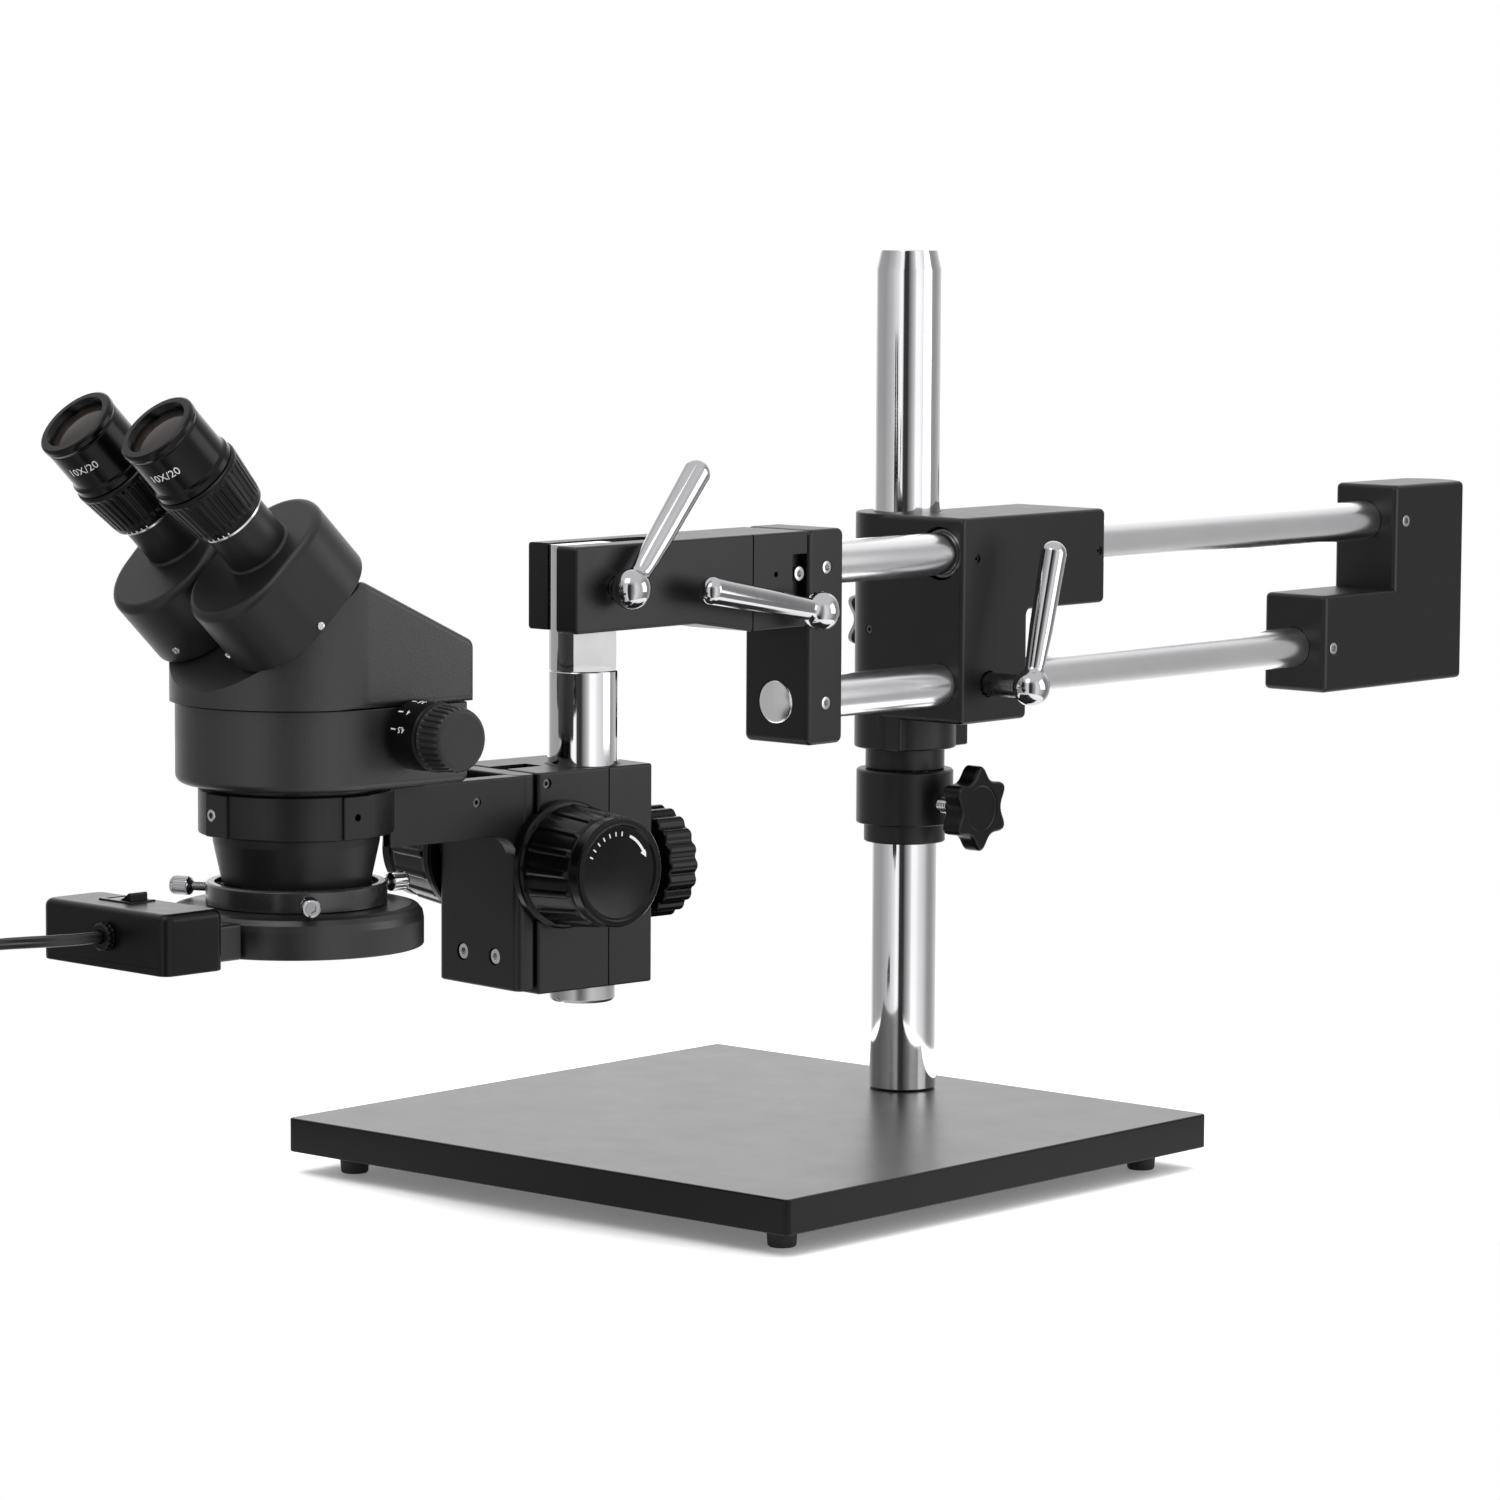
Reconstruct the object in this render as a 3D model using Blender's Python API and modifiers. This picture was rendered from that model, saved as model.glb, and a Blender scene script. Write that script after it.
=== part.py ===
"""Stereo zoom microscope on a ball-bearing double-arm boom stand, with a ring light.

World frame: metres, +Z up, +X the user's right, -Y towards the user. The origin is
on the surface that the feet stand on, under the middle of the whole length without
the mains lead. Dimensions below are measured from the middle of the base plate, and
ORIGIN_Y moves them to that origin. Helper functions take millimetres and degrees.
"""
import math

import bmesh
import bpy
from mathutils import Matrix
from mathutils import Vector

MM = 0.001
GAP = 0.3                     # clearance between touching pieces
ORIGIN_Y = -43.0              # where the middle of the base plate is in the world
POINTS_PER_LOBE = 6           # of a star knob's outline

# Base plate and pillar
BASE_WIDTH = 308.0
BASE_DEPTH = 302.0
BASE_THICKNESS = 16.0
FOOT_HEIGHT = 10.0
FOOT_RADIUS = 7.5
FOOT_INSET = 22.0
BASE_TOP = FOOT_HEIGHT + BASE_THICKNESS
PILLAR_Y = 112.0
PILLAR_RADIUS = 16.0
PILLAR_TOP = 429.0

# Retaining collar under the boom block
COLLAR_BOTTOM = 146.0
COLLAR_STEP = 155.0
COLLAR_TOP = 181.0
COLLAR_RADIUS = 23.3
COLLAR_KNOB_Z = 165.0

# Boom block
BOOM_TOP = 304.5
BOOM_BOTTOM = 207.0
BOOM_STEP_Z = 259.0
BOOM_FOOT_Z = 191.5
BOOM_NECK_Z = COLLAR_TOP + GAP
BOOM_RADIUS = 24.5
BOOM_RIGHT = 54.5
BOOM_FRONT = PILLAR_Y - BOOM_RADIUS
BOOM_UPPER_REAR = 197.0
BOOM_LOWER_REAR = 137.0
BOOM_KNOB_Z = 249.0
BOOM_KNOB_AZIMUTH = 143.0

# The pair of arms and the blocks that join their ends
ARM_X = 40.5
ARM_RADIUS = 10.0
UPPER_ARM_Z = 287.4
LOWER_ARM_Z = 225.4
ARM_BORE = ARM_RADIUS + GAP
END_LEFT = 21.5
END_RIGHT = 60.0
FRONT_BLOCK_FRONT = -29.8
FRONT_BLOCK_REAR = -5.3
REAR_BLOCK_FRONT = 372.5
REAR_BLOCK_STEP_Y = 433.5
REAR_BLOCK_REAR = 502.5
REAR_BLOCK_STEP_Z = 252.5
ARM_REAR = 488.0
BAR_SHAFT_FRONT = -56.0

# Knuckle bar and focus post
BAR_FRONT = -184.2
BAR_TOP = 304.7
BAR_BOTTOM = 266.7
BAR_HEAD_Y = -67.0
BAR_HEAD_BOTTOM = 261.0
POST_X = ARM_X
POST_Y = -159.0
POST_RADIUS = 15.6
POST_BOTTOM = 110.8
TILT_AXIS_Z = 285.7
TONGUE_BOTTOM = 249.0
TONGUE_HALF = 7.2

# Head: everything on the focus post, turned a little about it
HEAD_TURN = -7.0
BLOCK_LEFT = -38.0
BLOCK_RIGHT = 18.0
BLOCK_FRONT = -40.0
BLOCK_REAR = 25.3
BLOCK_BOTTOM = 110.5
BLOCK_TOP = 207.3
PLATE_FRONT = -51.3
FOCUS_AXIS_Y = -27.5
FOCUS_AXIS_Z = 167.0
PINION_RADIUS = 7.2
FOCUS_KNOB_LENGTH = 38.5
POST_KNOB_Z = 161.0

# Microscope holder ring and the microscope in it
RING_X = -10.0
RING_Y = -150.0
RING_OUTER = 41.5
RING_INNER = 36.7
RING_BOTTOM = 188.0
NECK_RADIUS = 36.4
BODY_BOTTOM = 209.3
BODY_SEAM = 244.0
LOWER_RADIUS = 51.0
UPPER_RADIUS = 53.3
BODY_REAR = 54.5
ROOF_FRONT_Y = -5.5
ROOF_FRONT_Z = 298.0
ROOF_REAR_Z = 269.5
WALL = 3.5
ZOOM_AXIS_Y = 21.3
ZOOM_AXIS_Z = 232.0
CONE_TOP = 187.5
CONE_STEP = 166.0
CONE_BOTTOM = 159.6
CONE_RADIUS = 30.9

# Swivelling prism boxes and eyepieces, on the 45 degree seat
SEAT_TILT = 45.0
SEAT_Y = -23.9
SEAT_Z = 280.0
SWIVEL_X = 27.2
SWIVEL_Y = -2.0
BOX_HEIGHT = 34.0
EYE_X = 28.5
EYE_Y = 10.0
EYE_TOP = 107.0

# Ring light
LIGHT_TURN = 4.0
LIGHT_RADIUS = 54.0
LIGHT_BOTTOM = 140.0
LIGHT_TOP = 157.4
ADAPTER_RADIUS = 38.5
ADAPTER_TOP = 167.0
CONTROL_WIDTH = 80.0
CONTROL_FRONT = -106.0
CONTROL_REAR = -73.5
CONTROL_TOP = 165.5
ROCKER_X = -8.0
ROCKER_Y = -86.0
THUMB_ANGLES = (-35.0, 85.0, 205.0)
THUMB_Z = 162.3
GLAND_X = 3.0
GLAND_Z = 153.5

# Mains lead of the ring light: a flat twin cord, 1.5 m long
CORD_RADIUS = 2.5
COIL_X = -104.0
COIL_Y = -134.0
COIL_INNER = 18.6
COIL_OUTER = 34.4
COIL_TOP = 9.2
PLUG_X = COIL_X - 45.9
PLUG_Y = COIL_Y + 34.0
# Route from the gland to the coil, in the ring light's frame
CORD_ROUTE = (
    (3.0, -107.0, 153.5), (3.0, -113.0, 153.5), (1.5, -121.5, 153.4), (-2.6, -130.5, 153.2),
    (-8.8, -138.6, 152.8), (-16.6, -145.6, 152.0), (-25.6, -151.4, 150.4), (-35.0, -155.9, 146.9),
    (-43.8, -159.2, 140.9), (-51.0, -161.4, 132.2), (-56.2, -162.8, 121.3), (-59.4, -163.6, 109.2),
    (-61.2, -164.1, 96.6), (-62.2, -164.4, 83.9), (-62.8, -164.7, 71.2), (-63.2, -164.9, 58.5),
    (-63.6, -165.1, 46.0), (-64.0, -165.2, 34.7), (-65.1, -165.3, 26.4), (-68.3, -165.4, 18.7),
    (-73.4, -165.5, 12.1), (-80.0, -165.5, 7.0), (-83.0, -165.5, 5.5),
)

# Colours are linear, then roughness and metallic value
FINISHES = {
    "black": ((0.018, 0.018, 0.019), 0.42, 0.0),
    "wrinkle": ((0.022, 0.022, 0.023), 0.55, 0.0),
    "plate": ((0.030, 0.030, 0.032), 0.38, 0.2),
    "plastic": ((0.012, 0.012, 0.012), 0.35, 0.0),
    "rubber": ((0.010, 0.010, 0.010), 0.75, 0.0),
    "chrome": ((0.78, 0.78, 0.80), 0.08, 1.0),
    "steel": ((0.62, 0.62, 0.63), 0.28, 1.0),
    "brass": ((0.62, 0.45, 0.20), 0.30, 1.0),
    "glass": ((0.35, 0.30, 0.33), 0.05, 0.0),
    "led": ((0.85, 0.85, 0.80), 0.40, 0.0),
    "cord": ((0.010, 0.010, 0.010), 0.50, 0.0),
}


# ---------------------------------------------------------------- scene helpers

def clear_scene():
    for obj in list(bpy.data.objects):
        bpy.data.objects.remove(obj)


def make_collection(name):
    collection = bpy.data.collections.new(name)
    bpy.context.scene.collection.children.link(collection)
    return collection


def metres(values):
    return tuple(value * MM for value in values)


def world_shift(parent):
    """Pieces that hang on nothing are moved from the base plate's middle to the origin."""
    return Vector((0, 0 if parent else ORIGIN_Y * MM, 0))


def frame(name, at=(0, 0, 0), turn=(0, 0, 0), parent=None):
    """An empty that pieces are placed in: a joint's axis or a tilted seat."""
    empty = bpy.data.objects.new(name, None)
    CUTTERS.objects.link(empty)
    empty.location = Vector(metres(at)) + world_shift(parent)
    empty.rotation_euler = tuple(math.radians(angle) for angle in turn)
    empty.parent = parent
    empty.hide_render = True
    return empty


def material(name, finish):
    colour, roughness, metallic = FINISHES[finish]
    result = bpy.data.materials.new(name + "_finish")
    result.use_nodes = True
    shader = result.node_tree.nodes["Principled BSDF"]
    shader.inputs["Base Color"].default_value = (*colour, 1.0)
    shader.inputs["Roughness"].default_value = roughness
    shader.inputs["Metallic"].default_value = metallic
    result.diffuse_color = (*colour, 1.0)
    return result


def piece(name, mesh, finish, parent=None, at=(0, 0, 0), turn=(0, 0, 0)):
    """A visible sub-part: one object, one node."""
    mesh.name = name
    obj = bpy.data.objects.new(name, mesh)
    PARTS.objects.link(obj)
    obj.location = Vector(metres(at)) + world_shift(parent)
    obj.rotation_euler = tuple(math.radians(angle) for angle in turn)
    obj.parent = parent
    mesh.materials.append(material(name, finish))
    return obj


def helper(mesh, like, at=(0, 0, 0), turn=(0, 0, 0)):
    """A hidden solid in the same frame as another piece, used by its booleans."""
    obj = bpy.data.objects.new("helper", mesh)
    CUTTERS.objects.link(obj)
    obj.parent = like.parent
    obj.matrix_basis = like.matrix_basis @ Matrix.LocRotScale(
        Vector(metres(at)),
        Matrix.Identity(3) if turn == (0, 0, 0) else turn_matrix(turn),
        Vector((1, 1, 1)))
    obj.hide_render = True
    obj.display_type = "WIRE"
    return obj


def turn_matrix(turn):
    angles = [math.radians(angle) for angle in turn]
    about_x = Matrix.Rotation(angles[0], 3, "X")
    about_y = Matrix.Rotation(angles[1], 3, "Y")
    about_z = Matrix.Rotation(angles[2], 3, "Z")
    return about_z @ about_y @ about_x


def boolean(obj, mesh, operation, at, turn):
    modifier = obj.modifiers.new(operation.title(), "BOOLEAN")
    modifier.operation = operation
    modifier.object = helper(mesh, obj, at, turn)
    return obj


def cut(obj, mesh, at=(0, 0, 0), turn=(0, 0, 0)):
    return boolean(obj, mesh, "DIFFERENCE", at, turn)


def join(obj, mesh, at=(0, 0, 0), turn=(0, 0, 0)):
    return boolean(obj, mesh, "UNION", at, turn)


def trim(obj, mesh, at=(0, 0, 0), turn=(0, 0, 0)):
    return boolean(obj, mesh, "INTERSECT", at, turn)


def round_edges(obj, width, segments=2, angle=40.0):
    modifier = obj.modifiers.new("Bevel", "BEVEL")
    modifier.width = width * MM
    modifier.segments = segments
    modifier.limit_method = "ANGLE"
    modifier.angle_limit = math.radians(angle)
    return obj


# ---------------------------------------------------------------- mesh helpers

def finish_bmesh(shape):
    mesh = bpy.data.meshes.new("shape")
    shape.to_mesh(mesh)
    shape.free()
    return mesh


def block(low, high):
    """A box between two corners."""
    shape = bmesh.new()
    size = [top - bottom for bottom, top in zip(low, high)]
    middle = [(top + bottom) / 2 for bottom, top in zip(low, high)]
    place = Matrix.Translation(metres(middle)) @ Matrix.Diagonal((*metres(size), 1.0))
    bmesh.ops.create_cube(shape, size=1.0, matrix=place)
    return finish_bmesh(shape)


def cylinder(radius, low, high, sides=28, top_radius=None):
    """A cylinder or cone about Z."""
    shape = bmesh.new()
    bmesh.ops.create_cone(
        shape,
        cap_ends=True,
        segments=sides,
        radius1=radius * MM,
        radius2=(radius if top_radius is None else top_radius) * MM,
        depth=(high - low) * MM,
        matrix=Matrix.Translation((0, 0, (high + low) / 2 * MM)))
    return finish_bmesh(shape)


def ball(radius, sides=16):
    shape = bmesh.new()
    bmesh.ops.create_uvsphere(shape, u_segments=sides, v_segments=sides // 2, radius=radius * MM)
    return finish_bmesh(shape)


def profile_mesh(points, closed):
    """Edges of a turned shape's profile: (radius, height) down its outer side."""
    mesh = bpy.data.meshes.new("profile")
    edges = [(i, i + 1) for i in range(len(points) - 1)]
    if closed:
        edges.append((len(points) - 1, 0))
    mesh.from_pydata([(radius * MM, 0.0, height * MM) for radius, height in points], edges, [])
    return mesh


def turned(name, points, finish, parent=None, at=(0, 0, 0), turn=(0, 0, 0), steps=32, closed=False):
    """A turned piece about its own Z axis."""
    obj = piece(name, profile_mesh(points, closed), finish, parent, at, turn)
    modifier = obj.modifiers.new("Screw", "SCREW")
    modifier.angle = math.radians(360.0)
    modifier.steps = steps
    modifier.render_steps = steps
    modifier.use_merge_vertices = True
    modifier.merge_threshold = 0.00001
    return obj


def slab(outline, low, high):
    """A flat outline in XY, extruded from one height to another."""
    curve = bpy.data.curves.new("outline", "CURVE")
    curve.dimensions = "2D"
    curve.fill_mode = "BOTH"
    curve.extrude = (high - low) / 2 * MM
    spline = curve.splines.new("POLY")
    spline.points.add(len(outline) - 1)
    for point, (x, y) in zip(spline.points, outline):
        point.co = (x * MM, y * MM, 0.0, 1.0)
    spline.use_cyclic_u = True
    return mesh_from_curve(curve, Matrix.Translation((0, 0, (high + low) / 2 * MM)))


def side_slab(outline, low, high):
    """An outline in YZ, extruded along X."""
    mesh = slab(outline, low, high)
    mesh.transform(Matrix(((0, 0, 1, 0), (1, 0, 0, 0), (0, 1, 0, 0), (0, 0, 0, 1))))
    return mesh


def mesh_from_curve(curve, place):
    guide = bpy.data.objects.new("guide", curve)
    CUTTERS.objects.link(guide)
    bpy.context.view_layer.update()
    mesh = bpy.data.meshes.new_from_object(guide.evaluated_get(bpy.context.evaluated_depsgraph_get()))
    bpy.data.objects.remove(guide)
    mesh.transform(place)
    shape = bmesh.new()
    shape.from_mesh(mesh)
    bmesh.ops.remove_doubles(shape, verts=shape.verts, dist=0.000005)
    bmesh.ops.recalc_face_normals(shape, faces=shape.faces)
    shape.to_mesh(mesh)
    shape.free()
    return mesh


def arc(centre, radius, start, end, steps):
    """Points of an arc, angles in degrees."""
    points = []
    for i in range(steps + 1):
        angle = math.radians(start + (end - start) * i / steps)
        points.append((centre[0] + radius * math.cos(angle), centre[1] + radius * math.sin(angle)))
    return points


def belt(lower, lower_radius, upper, upper_radius, steps):
    """The outline of a belt around two circles, one above the other in Y."""
    along = Vector(upper) - Vector(lower)
    heading = math.degrees(math.atan2(along.y, along.x))
    spread = math.degrees(math.acos((lower_radius - upper_radius) / along.length))
    top = arc(upper, upper_radius, heading - spread, heading + spread, steps)
    bottom = arc(lower, lower_radius, heading + spread, heading + 360.0 - spread, steps)
    return top + bottom


def round_cornered(low, high, radius, steps=4):
    """A rectangle's outline with round corners."""
    points = arc((high[0] - radius, high[1] - radius), radius, 0, 90, steps)
    points += arc((low[0] + radius, high[1] - radius), radius, 90, 180, steps)
    points += arc((low[0] + radius, low[1] + radius), radius, 180, 270, steps)
    points += arc((high[0] - radius, low[1] + radius), radius, 270, 360, steps)
    return points


# ---------------------------------------------------------------- repeated pieces

def star_knob(name, parent, at, turn, screw_tip):
    """A six-lobed clamp knob on its screw; its Z axis points out of the clamped part."""
    lobes = 6
    outline = []
    for i in range(lobes * POINTS_PER_LOBE):
        angle = 2 * math.pi * i / (lobes * POINTS_PER_LOBE)
        radius = 17.6 + 2.4 * math.cos(lobes * angle)
        outline.append((radius * math.cos(angle), radius * math.sin(angle)))
    knob = piece(name, slab(outline, 38.0, 48.0), "plastic", parent, at, turn)
    join(knob, cylinder(7.5, 31.0, 42.0, 20))
    join(knob, cylinder(3.9, screw_tip, 40.0, 16))
    return knob


def lever(name, parent, at, handle, ball_height, hub_radius, hub_low):
    """A clamp lever: bolt along +X, ball, and a handle that widens to its round end."""
    length = math.hypot(*handle)
    tilt = math.degrees(math.atan2(handle[1], handle[0]))
    obj = piece(name, cylinder(hub_radius, hub_low, ball_height, 16), "chrome", parent, at)
    # Local Z lies along world +X, local X along the handle
    handle_turn = Matrix.Rotation(math.radians(tilt), 3, "X") @ Matrix(((0, 0, 1), (1, 0, 0), (0, 1, 0)))
    obj.rotation_euler = handle_turn.to_euler()
    join(obj, ball(8.9, 14), at=(0, 0, ball_height))
    join(obj, cylinder(4.3, 0.0, length, 14, 6.2), at=(0, 0, ball_height), turn=(0, 90, 0))
    join(obj, ball(6.35, 12), at=(length, 0, ball_height))
    return obj


# ---------------------------------------------------------------- stand

def build_base():
    half_x = BASE_WIDTH / 2
    half_y = BASE_DEPTH / 2
    plate = piece("base_plate", slab(round_cornered((-half_x, -half_y), (half_x, half_y), 2.5, 3),
                                     FOOT_HEIGHT, BASE_TOP), "plate")
    cut(plate, cylinder(9.0, FOOT_HEIGHT - 1.0, FOOT_HEIGHT + 7.0, 24), at=(0, PILLAR_Y, 0))
    cut(plate, cylinder(5.3, FOOT_HEIGHT, BASE_TOP + 1.0, 20), at=(0, PILLAR_Y, 0))
    round_edges(plate, 0.6, 1, 50)
    number = 1
    for x in (-1, 1):
        for y in (-1, 1):
            spot = (x * (half_x - FOOT_INSET), y * (half_y - FOOT_INSET), 0)
            foot = [(0, FOOT_HEIGHT - GAP), (FOOT_RADIUS, FOOT_HEIGHT - GAP), (6.6, 0.6), (6.0, 0), (0, 0)]
            turned(f"base_foot_{number}", foot, "rubber", None, spot, steps=20)
            number += 1
    pillar = [(0, PILLAR_TOP), (13.9, PILLAR_TOP), (PILLAR_RADIUS, PILLAR_TOP - 9),
              (PILLAR_RADIUS, BASE_TOP + GAP), (5.3, BASE_TOP + GAP), (5.3, 52), (0, 52)]
    turned("pillar", pillar, "chrome", None, (0, PILLAR_Y, 0), steps=40)
    screw = [(0, 50), (5.0, 50), (5.0, 16.6), (8.5, 16.6), (8.5, 10.6), (0, 10.6)]
    turned("pillar_screw", screw, "steel", None, (0, PILLAR_Y, 0), steps=20)


def build_collar():
    bore = PILLAR_RADIUS + GAP
    ring = [(bore, COLLAR_TOP), (COLLAR_RADIUS - 1, COLLAR_TOP), (COLLAR_RADIUS, COLLAR_TOP - 1),
            (COLLAR_RADIUS, COLLAR_STEP), (19.5, COLLAR_STEP - 1), (19.5, COLLAR_BOTTOM), (bore, COLLAR_BOTTOM)]
    collar = turned("collar", ring, "black", None, (0, PILLAR_Y, 0), steps=36, closed=True)
    cut(collar, cylinder(4.3, 10.0, 30.0, 16), at=(0, 0, COLLAR_KNOB_Z), turn=(0, 90, 0))
    star_knob("collar_knob", None, (0, PILLAR_Y, COLLAR_KNOB_Z), (0, 90, 0), PILLAR_RADIUS + GAP)


def build_boom():
    boom = piece("boom_block", cylinder(BOOM_RADIUS, BOOM_FOOT_Z, BOOM_TOP, 40), "black", None, (0, PILLAR_Y, 0))
    front = BOOM_FRONT - PILLAR_Y
    upper_rear = BOOM_UPPER_REAR - PILLAR_Y
    lower_rear = BOOM_LOWER_REAR - PILLAR_Y
    side = [(0, BOOM_BOTTOM), (0, BOOM_TOP), (upper_rear, BOOM_TOP), (upper_rear, BOOM_STEP_Z),
            (lower_rear, BOOM_STEP_Z), (lower_rear, BOOM_BOTTOM)]
    outline = [(y if y else front, z) for y, z in side]
    join(boom, side_slab(outline, 0.5, BOOM_RIGHT))
    join(boom, block((0.5, front + 1.2, BOOM_FOOT_Z), (16.0, 28.3, BOOM_BOTTOM + 2)))
    join(boom, cylinder(19.0, BOOM_NECK_Z, BOOM_FOOT_Z + 3, 36))
    cut(boom, cylinder(PILLAR_RADIUS + GAP, BOOM_NECK_Z - 1, BOOM_TOP + 1, 36))
    for height in (UPPER_ARM_Z, LOWER_ARM_Z):
        cut(boom, cylinder(ARM_BORE, front - 1, upper_rear + 1, 28), at=(ARM_X, 0, height), turn=(-90, 0, 0))
    cut(boom, cylinder(12.5, front - 1, front + 4, 28), at=(ARM_X, 0, UPPER_ARM_Z), turn=(-90, 0, 0))
    cut(boom, cylinder(6.4, ARM_X + 8, BOOM_RIGHT + 1, 20), at=(0, 107.8 - PILLAR_Y, LOWER_ARM_Z), turn=(0, 90, 0))
    cut(boom, cylinder(4.3, 10.0, 30.0, 16), at=(0, 0, BOOM_KNOB_Z), turn=(0, 90, BOOM_KNOB_AZIMUTH))
    star_knob("boom_knob", None, (0, PILLAR_Y, BOOM_KNOB_Z), (0, 90, BOOM_KNOB_AZIMUTH), PILLAR_RADIUS + GAP)
    lever("arm_lock_lever", None, (ARM_X + ARM_RADIUS + 0.7, 107.8, LOWER_ARM_Z), (15.5, 61.9), 29.0, 5.6, 0.0)


def build_arms():
    # Each arm is clamped in the front block and in a blind bore of the rear block
    arms = (("upper_arm", UPPER_ARM_Z, BAR_SHAFT_FRONT), ("lower_arm", LOWER_ARM_Z, FRONT_BLOCK_FRONT - 0.2))
    for name, height, front in arms:
        piece(name, cylinder(ARM_RADIUS, front, ARM_REAR, 32), "chrome", None, (ARM_X, 0, height), (-90, 0, 0))
    outline = round_cornered((FRONT_BLOCK_FRONT, 206.5), (FRONT_BLOCK_REAR, 304.9), 2.5, 3)
    front = piece("front_block", side_slab(outline, END_LEFT, END_RIGHT), "black")
    side = [(REAR_BLOCK_FRONT, 203.0), (REAR_BLOCK_REAR, 203.0), (REAR_BLOCK_REAR, 306.0),
            (REAR_BLOCK_STEP_Y, 306.0), (REAR_BLOCK_STEP_Y, REAR_BLOCK_STEP_Z),
            (REAR_BLOCK_FRONT, REAR_BLOCK_STEP_Z)]
    rear = piece("rear_block", side_slab(side, END_LEFT - 1, END_RIGHT), "black")
    plan = [(END_LEFT - 2, 360.0), (END_RIGHT + 1, 360.0)]
    plan += arc((ARM_X, REAR_BLOCK_REAR - 26.0), 26.0, 38.0, 142.0, 10)
    trim(rear, slab(plan, 195.0, 315.0))
    for height in (UPPER_ARM_Z, LOWER_ARM_Z):
        cut(front, cylinder(ARM_BORE, -40, 0, 28), at=(ARM_X, 0, height), turn=(-90, 0, 0))
        cut(rear, cylinder(ARM_BORE, 360, ARM_REAR + GAP, 28), at=(ARM_X, 0, height), turn=(-90, 0, 0))
    screws = (("front_upper_set_screw", front, -17.0, UPPER_ARM_Z), ("front_lower_set_screw", front, -17.0, LOWER_ARM_Z),
              ("rear_upper_set_screw", rear, 443.0, UPPER_ARM_Z), ("rear_lower_set_screw", rear, 380.5, LOWER_ARM_Z))
    for name, owner, y, z in screws:
        cut(owner, cylinder(2.9, 5.0, 30.0, 16), at=(ARM_X, y, z), turn=(0, 90, 0))
        set_screw(name, (ARM_X + ARM_RADIUS + GAP, y, z))


def set_screw(name, at):
    """A socket screw that clamps an arm from the +X side."""
    length = END_RIGHT - at[0] - 0.6
    screw = piece(name, cylinder(2.6, 0.0, length, 16), "steel", None, at, (0, 90, 0))
    cut(screw, cylinder(1.3, length - 2.5, length + 1.0, 6))


# ---------------------------------------------------------------- knuckle and focus post

def build_knuckle():
    rear = FRONT_BLOCK_FRONT - GAP
    outline = [(BAR_FRONT, BAR_BOTTOM), (-105.0, BAR_BOTTOM), (BAR_HEAD_Y, BAR_HEAD_BOTTOM),
               (rear, BAR_HEAD_BOTTOM), (rear, BAR_TOP), (BAR_FRONT, BAR_TOP)]
    bar = piece("knuckle_bar", side_slab(outline, END_LEFT, END_RIGHT), "black")
    # Fork gap with a round end; the left jaw is shorter
    half = TONGUE_HALF + 0.5
    gap = [(POST_X + half, BAR_FRONT - 2)]
    gap += arc((POST_X, -120.0), half, 0, 180, 8)
    gap.append((POST_X - half, BAR_FRONT - 2))
    cut(bar, slab(gap, 255.0, 310.0))
    cut(bar, block((END_LEFT - 2, BAR_FRONT - 3, 255.0), (POST_X - half + 0.2, -173.5, 310.0)))
    # Clamp around the front of the upper arm: bore, saw cut and access notch
    cut(bar, cylinder(ARM_BORE, BAR_SHAFT_FRONT - 1, rear + 1, 28), at=(ARM_X, 0, UPPER_ARM_Z), turn=(-90, 0, 0))
    cut(bar, block((ARM_X - 0.7, -58.0, 255.0), (ARM_X + 0.7, rear + 1, 282.0)))
    cut(bar, block((54.0, -41.2, 274.5), (END_RIGHT + 2, rear + 1, 294.5)))
    cut(bar, block((58.4, BAR_HEAD_Y - 1.8, 255.0), (END_RIGHT + 2, BAR_HEAD_Y - 0.4, 310.0)))
    cut(bar, cylinder(4.3, 45.7, END_RIGHT + 2, 16), at=(0, -36.6, 269.4), turn=(0, 90, 0))
    cut(bar, cylinder(5.3, POST_X - 17.0, END_RIGHT + 2, 16), at=(0, POST_Y, TILT_AXIS_Z), turn=(0, 90, 0))
    lever("knuckle_lever", None, (46.0, -36.6, 269.4), (-73.6, 13.1), 27.0, 4.0, 0.0)
    lever("tilt_lever", None, (POST_X - 16.0, POST_Y, TILT_AXIS_Z), (42.0, 48.5), 69.0 - POST_X + 16.0, 5.0, 0.0)


def build_post():
    post = piece("focus_post", cylinder(POST_RADIUS, POST_BOTTOM, BAR_TOP - 0.4, 36), "chrome",
                 None, (POST_X, POST_Y, 0))
    for side in (-1, 1):
        low = min(side * TONGUE_HALF, side * 20.0)
        high = max(side * TONGUE_HALF, side * 20.0)
        cut(post, block((low, -20.0, TONGUE_BOTTOM), (high, 20.0, 310.0)))
    cut(post, cylinder(5.3, -12.0, 12.0, 16), at=(0, 0, TILT_AXIS_Z), turn=(0, 90, 0))
    ring = [(9.0, POST_BOTTOM - GAP), (14.4, POST_BOTTOM - GAP), (14.4, 103.5), (13.6, 102.7), (9.0, 102.7)]
    end = turned("post_end_ring", ring, "chrome", None, (POST_X, POST_Y, 0), steps=28, closed=True)
    cut(end, block((-1.5, -16.0, 101.0), (1.5, 16.0, 105.0)))


# ---------------------------------------------------------------- focus block and holder

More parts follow.
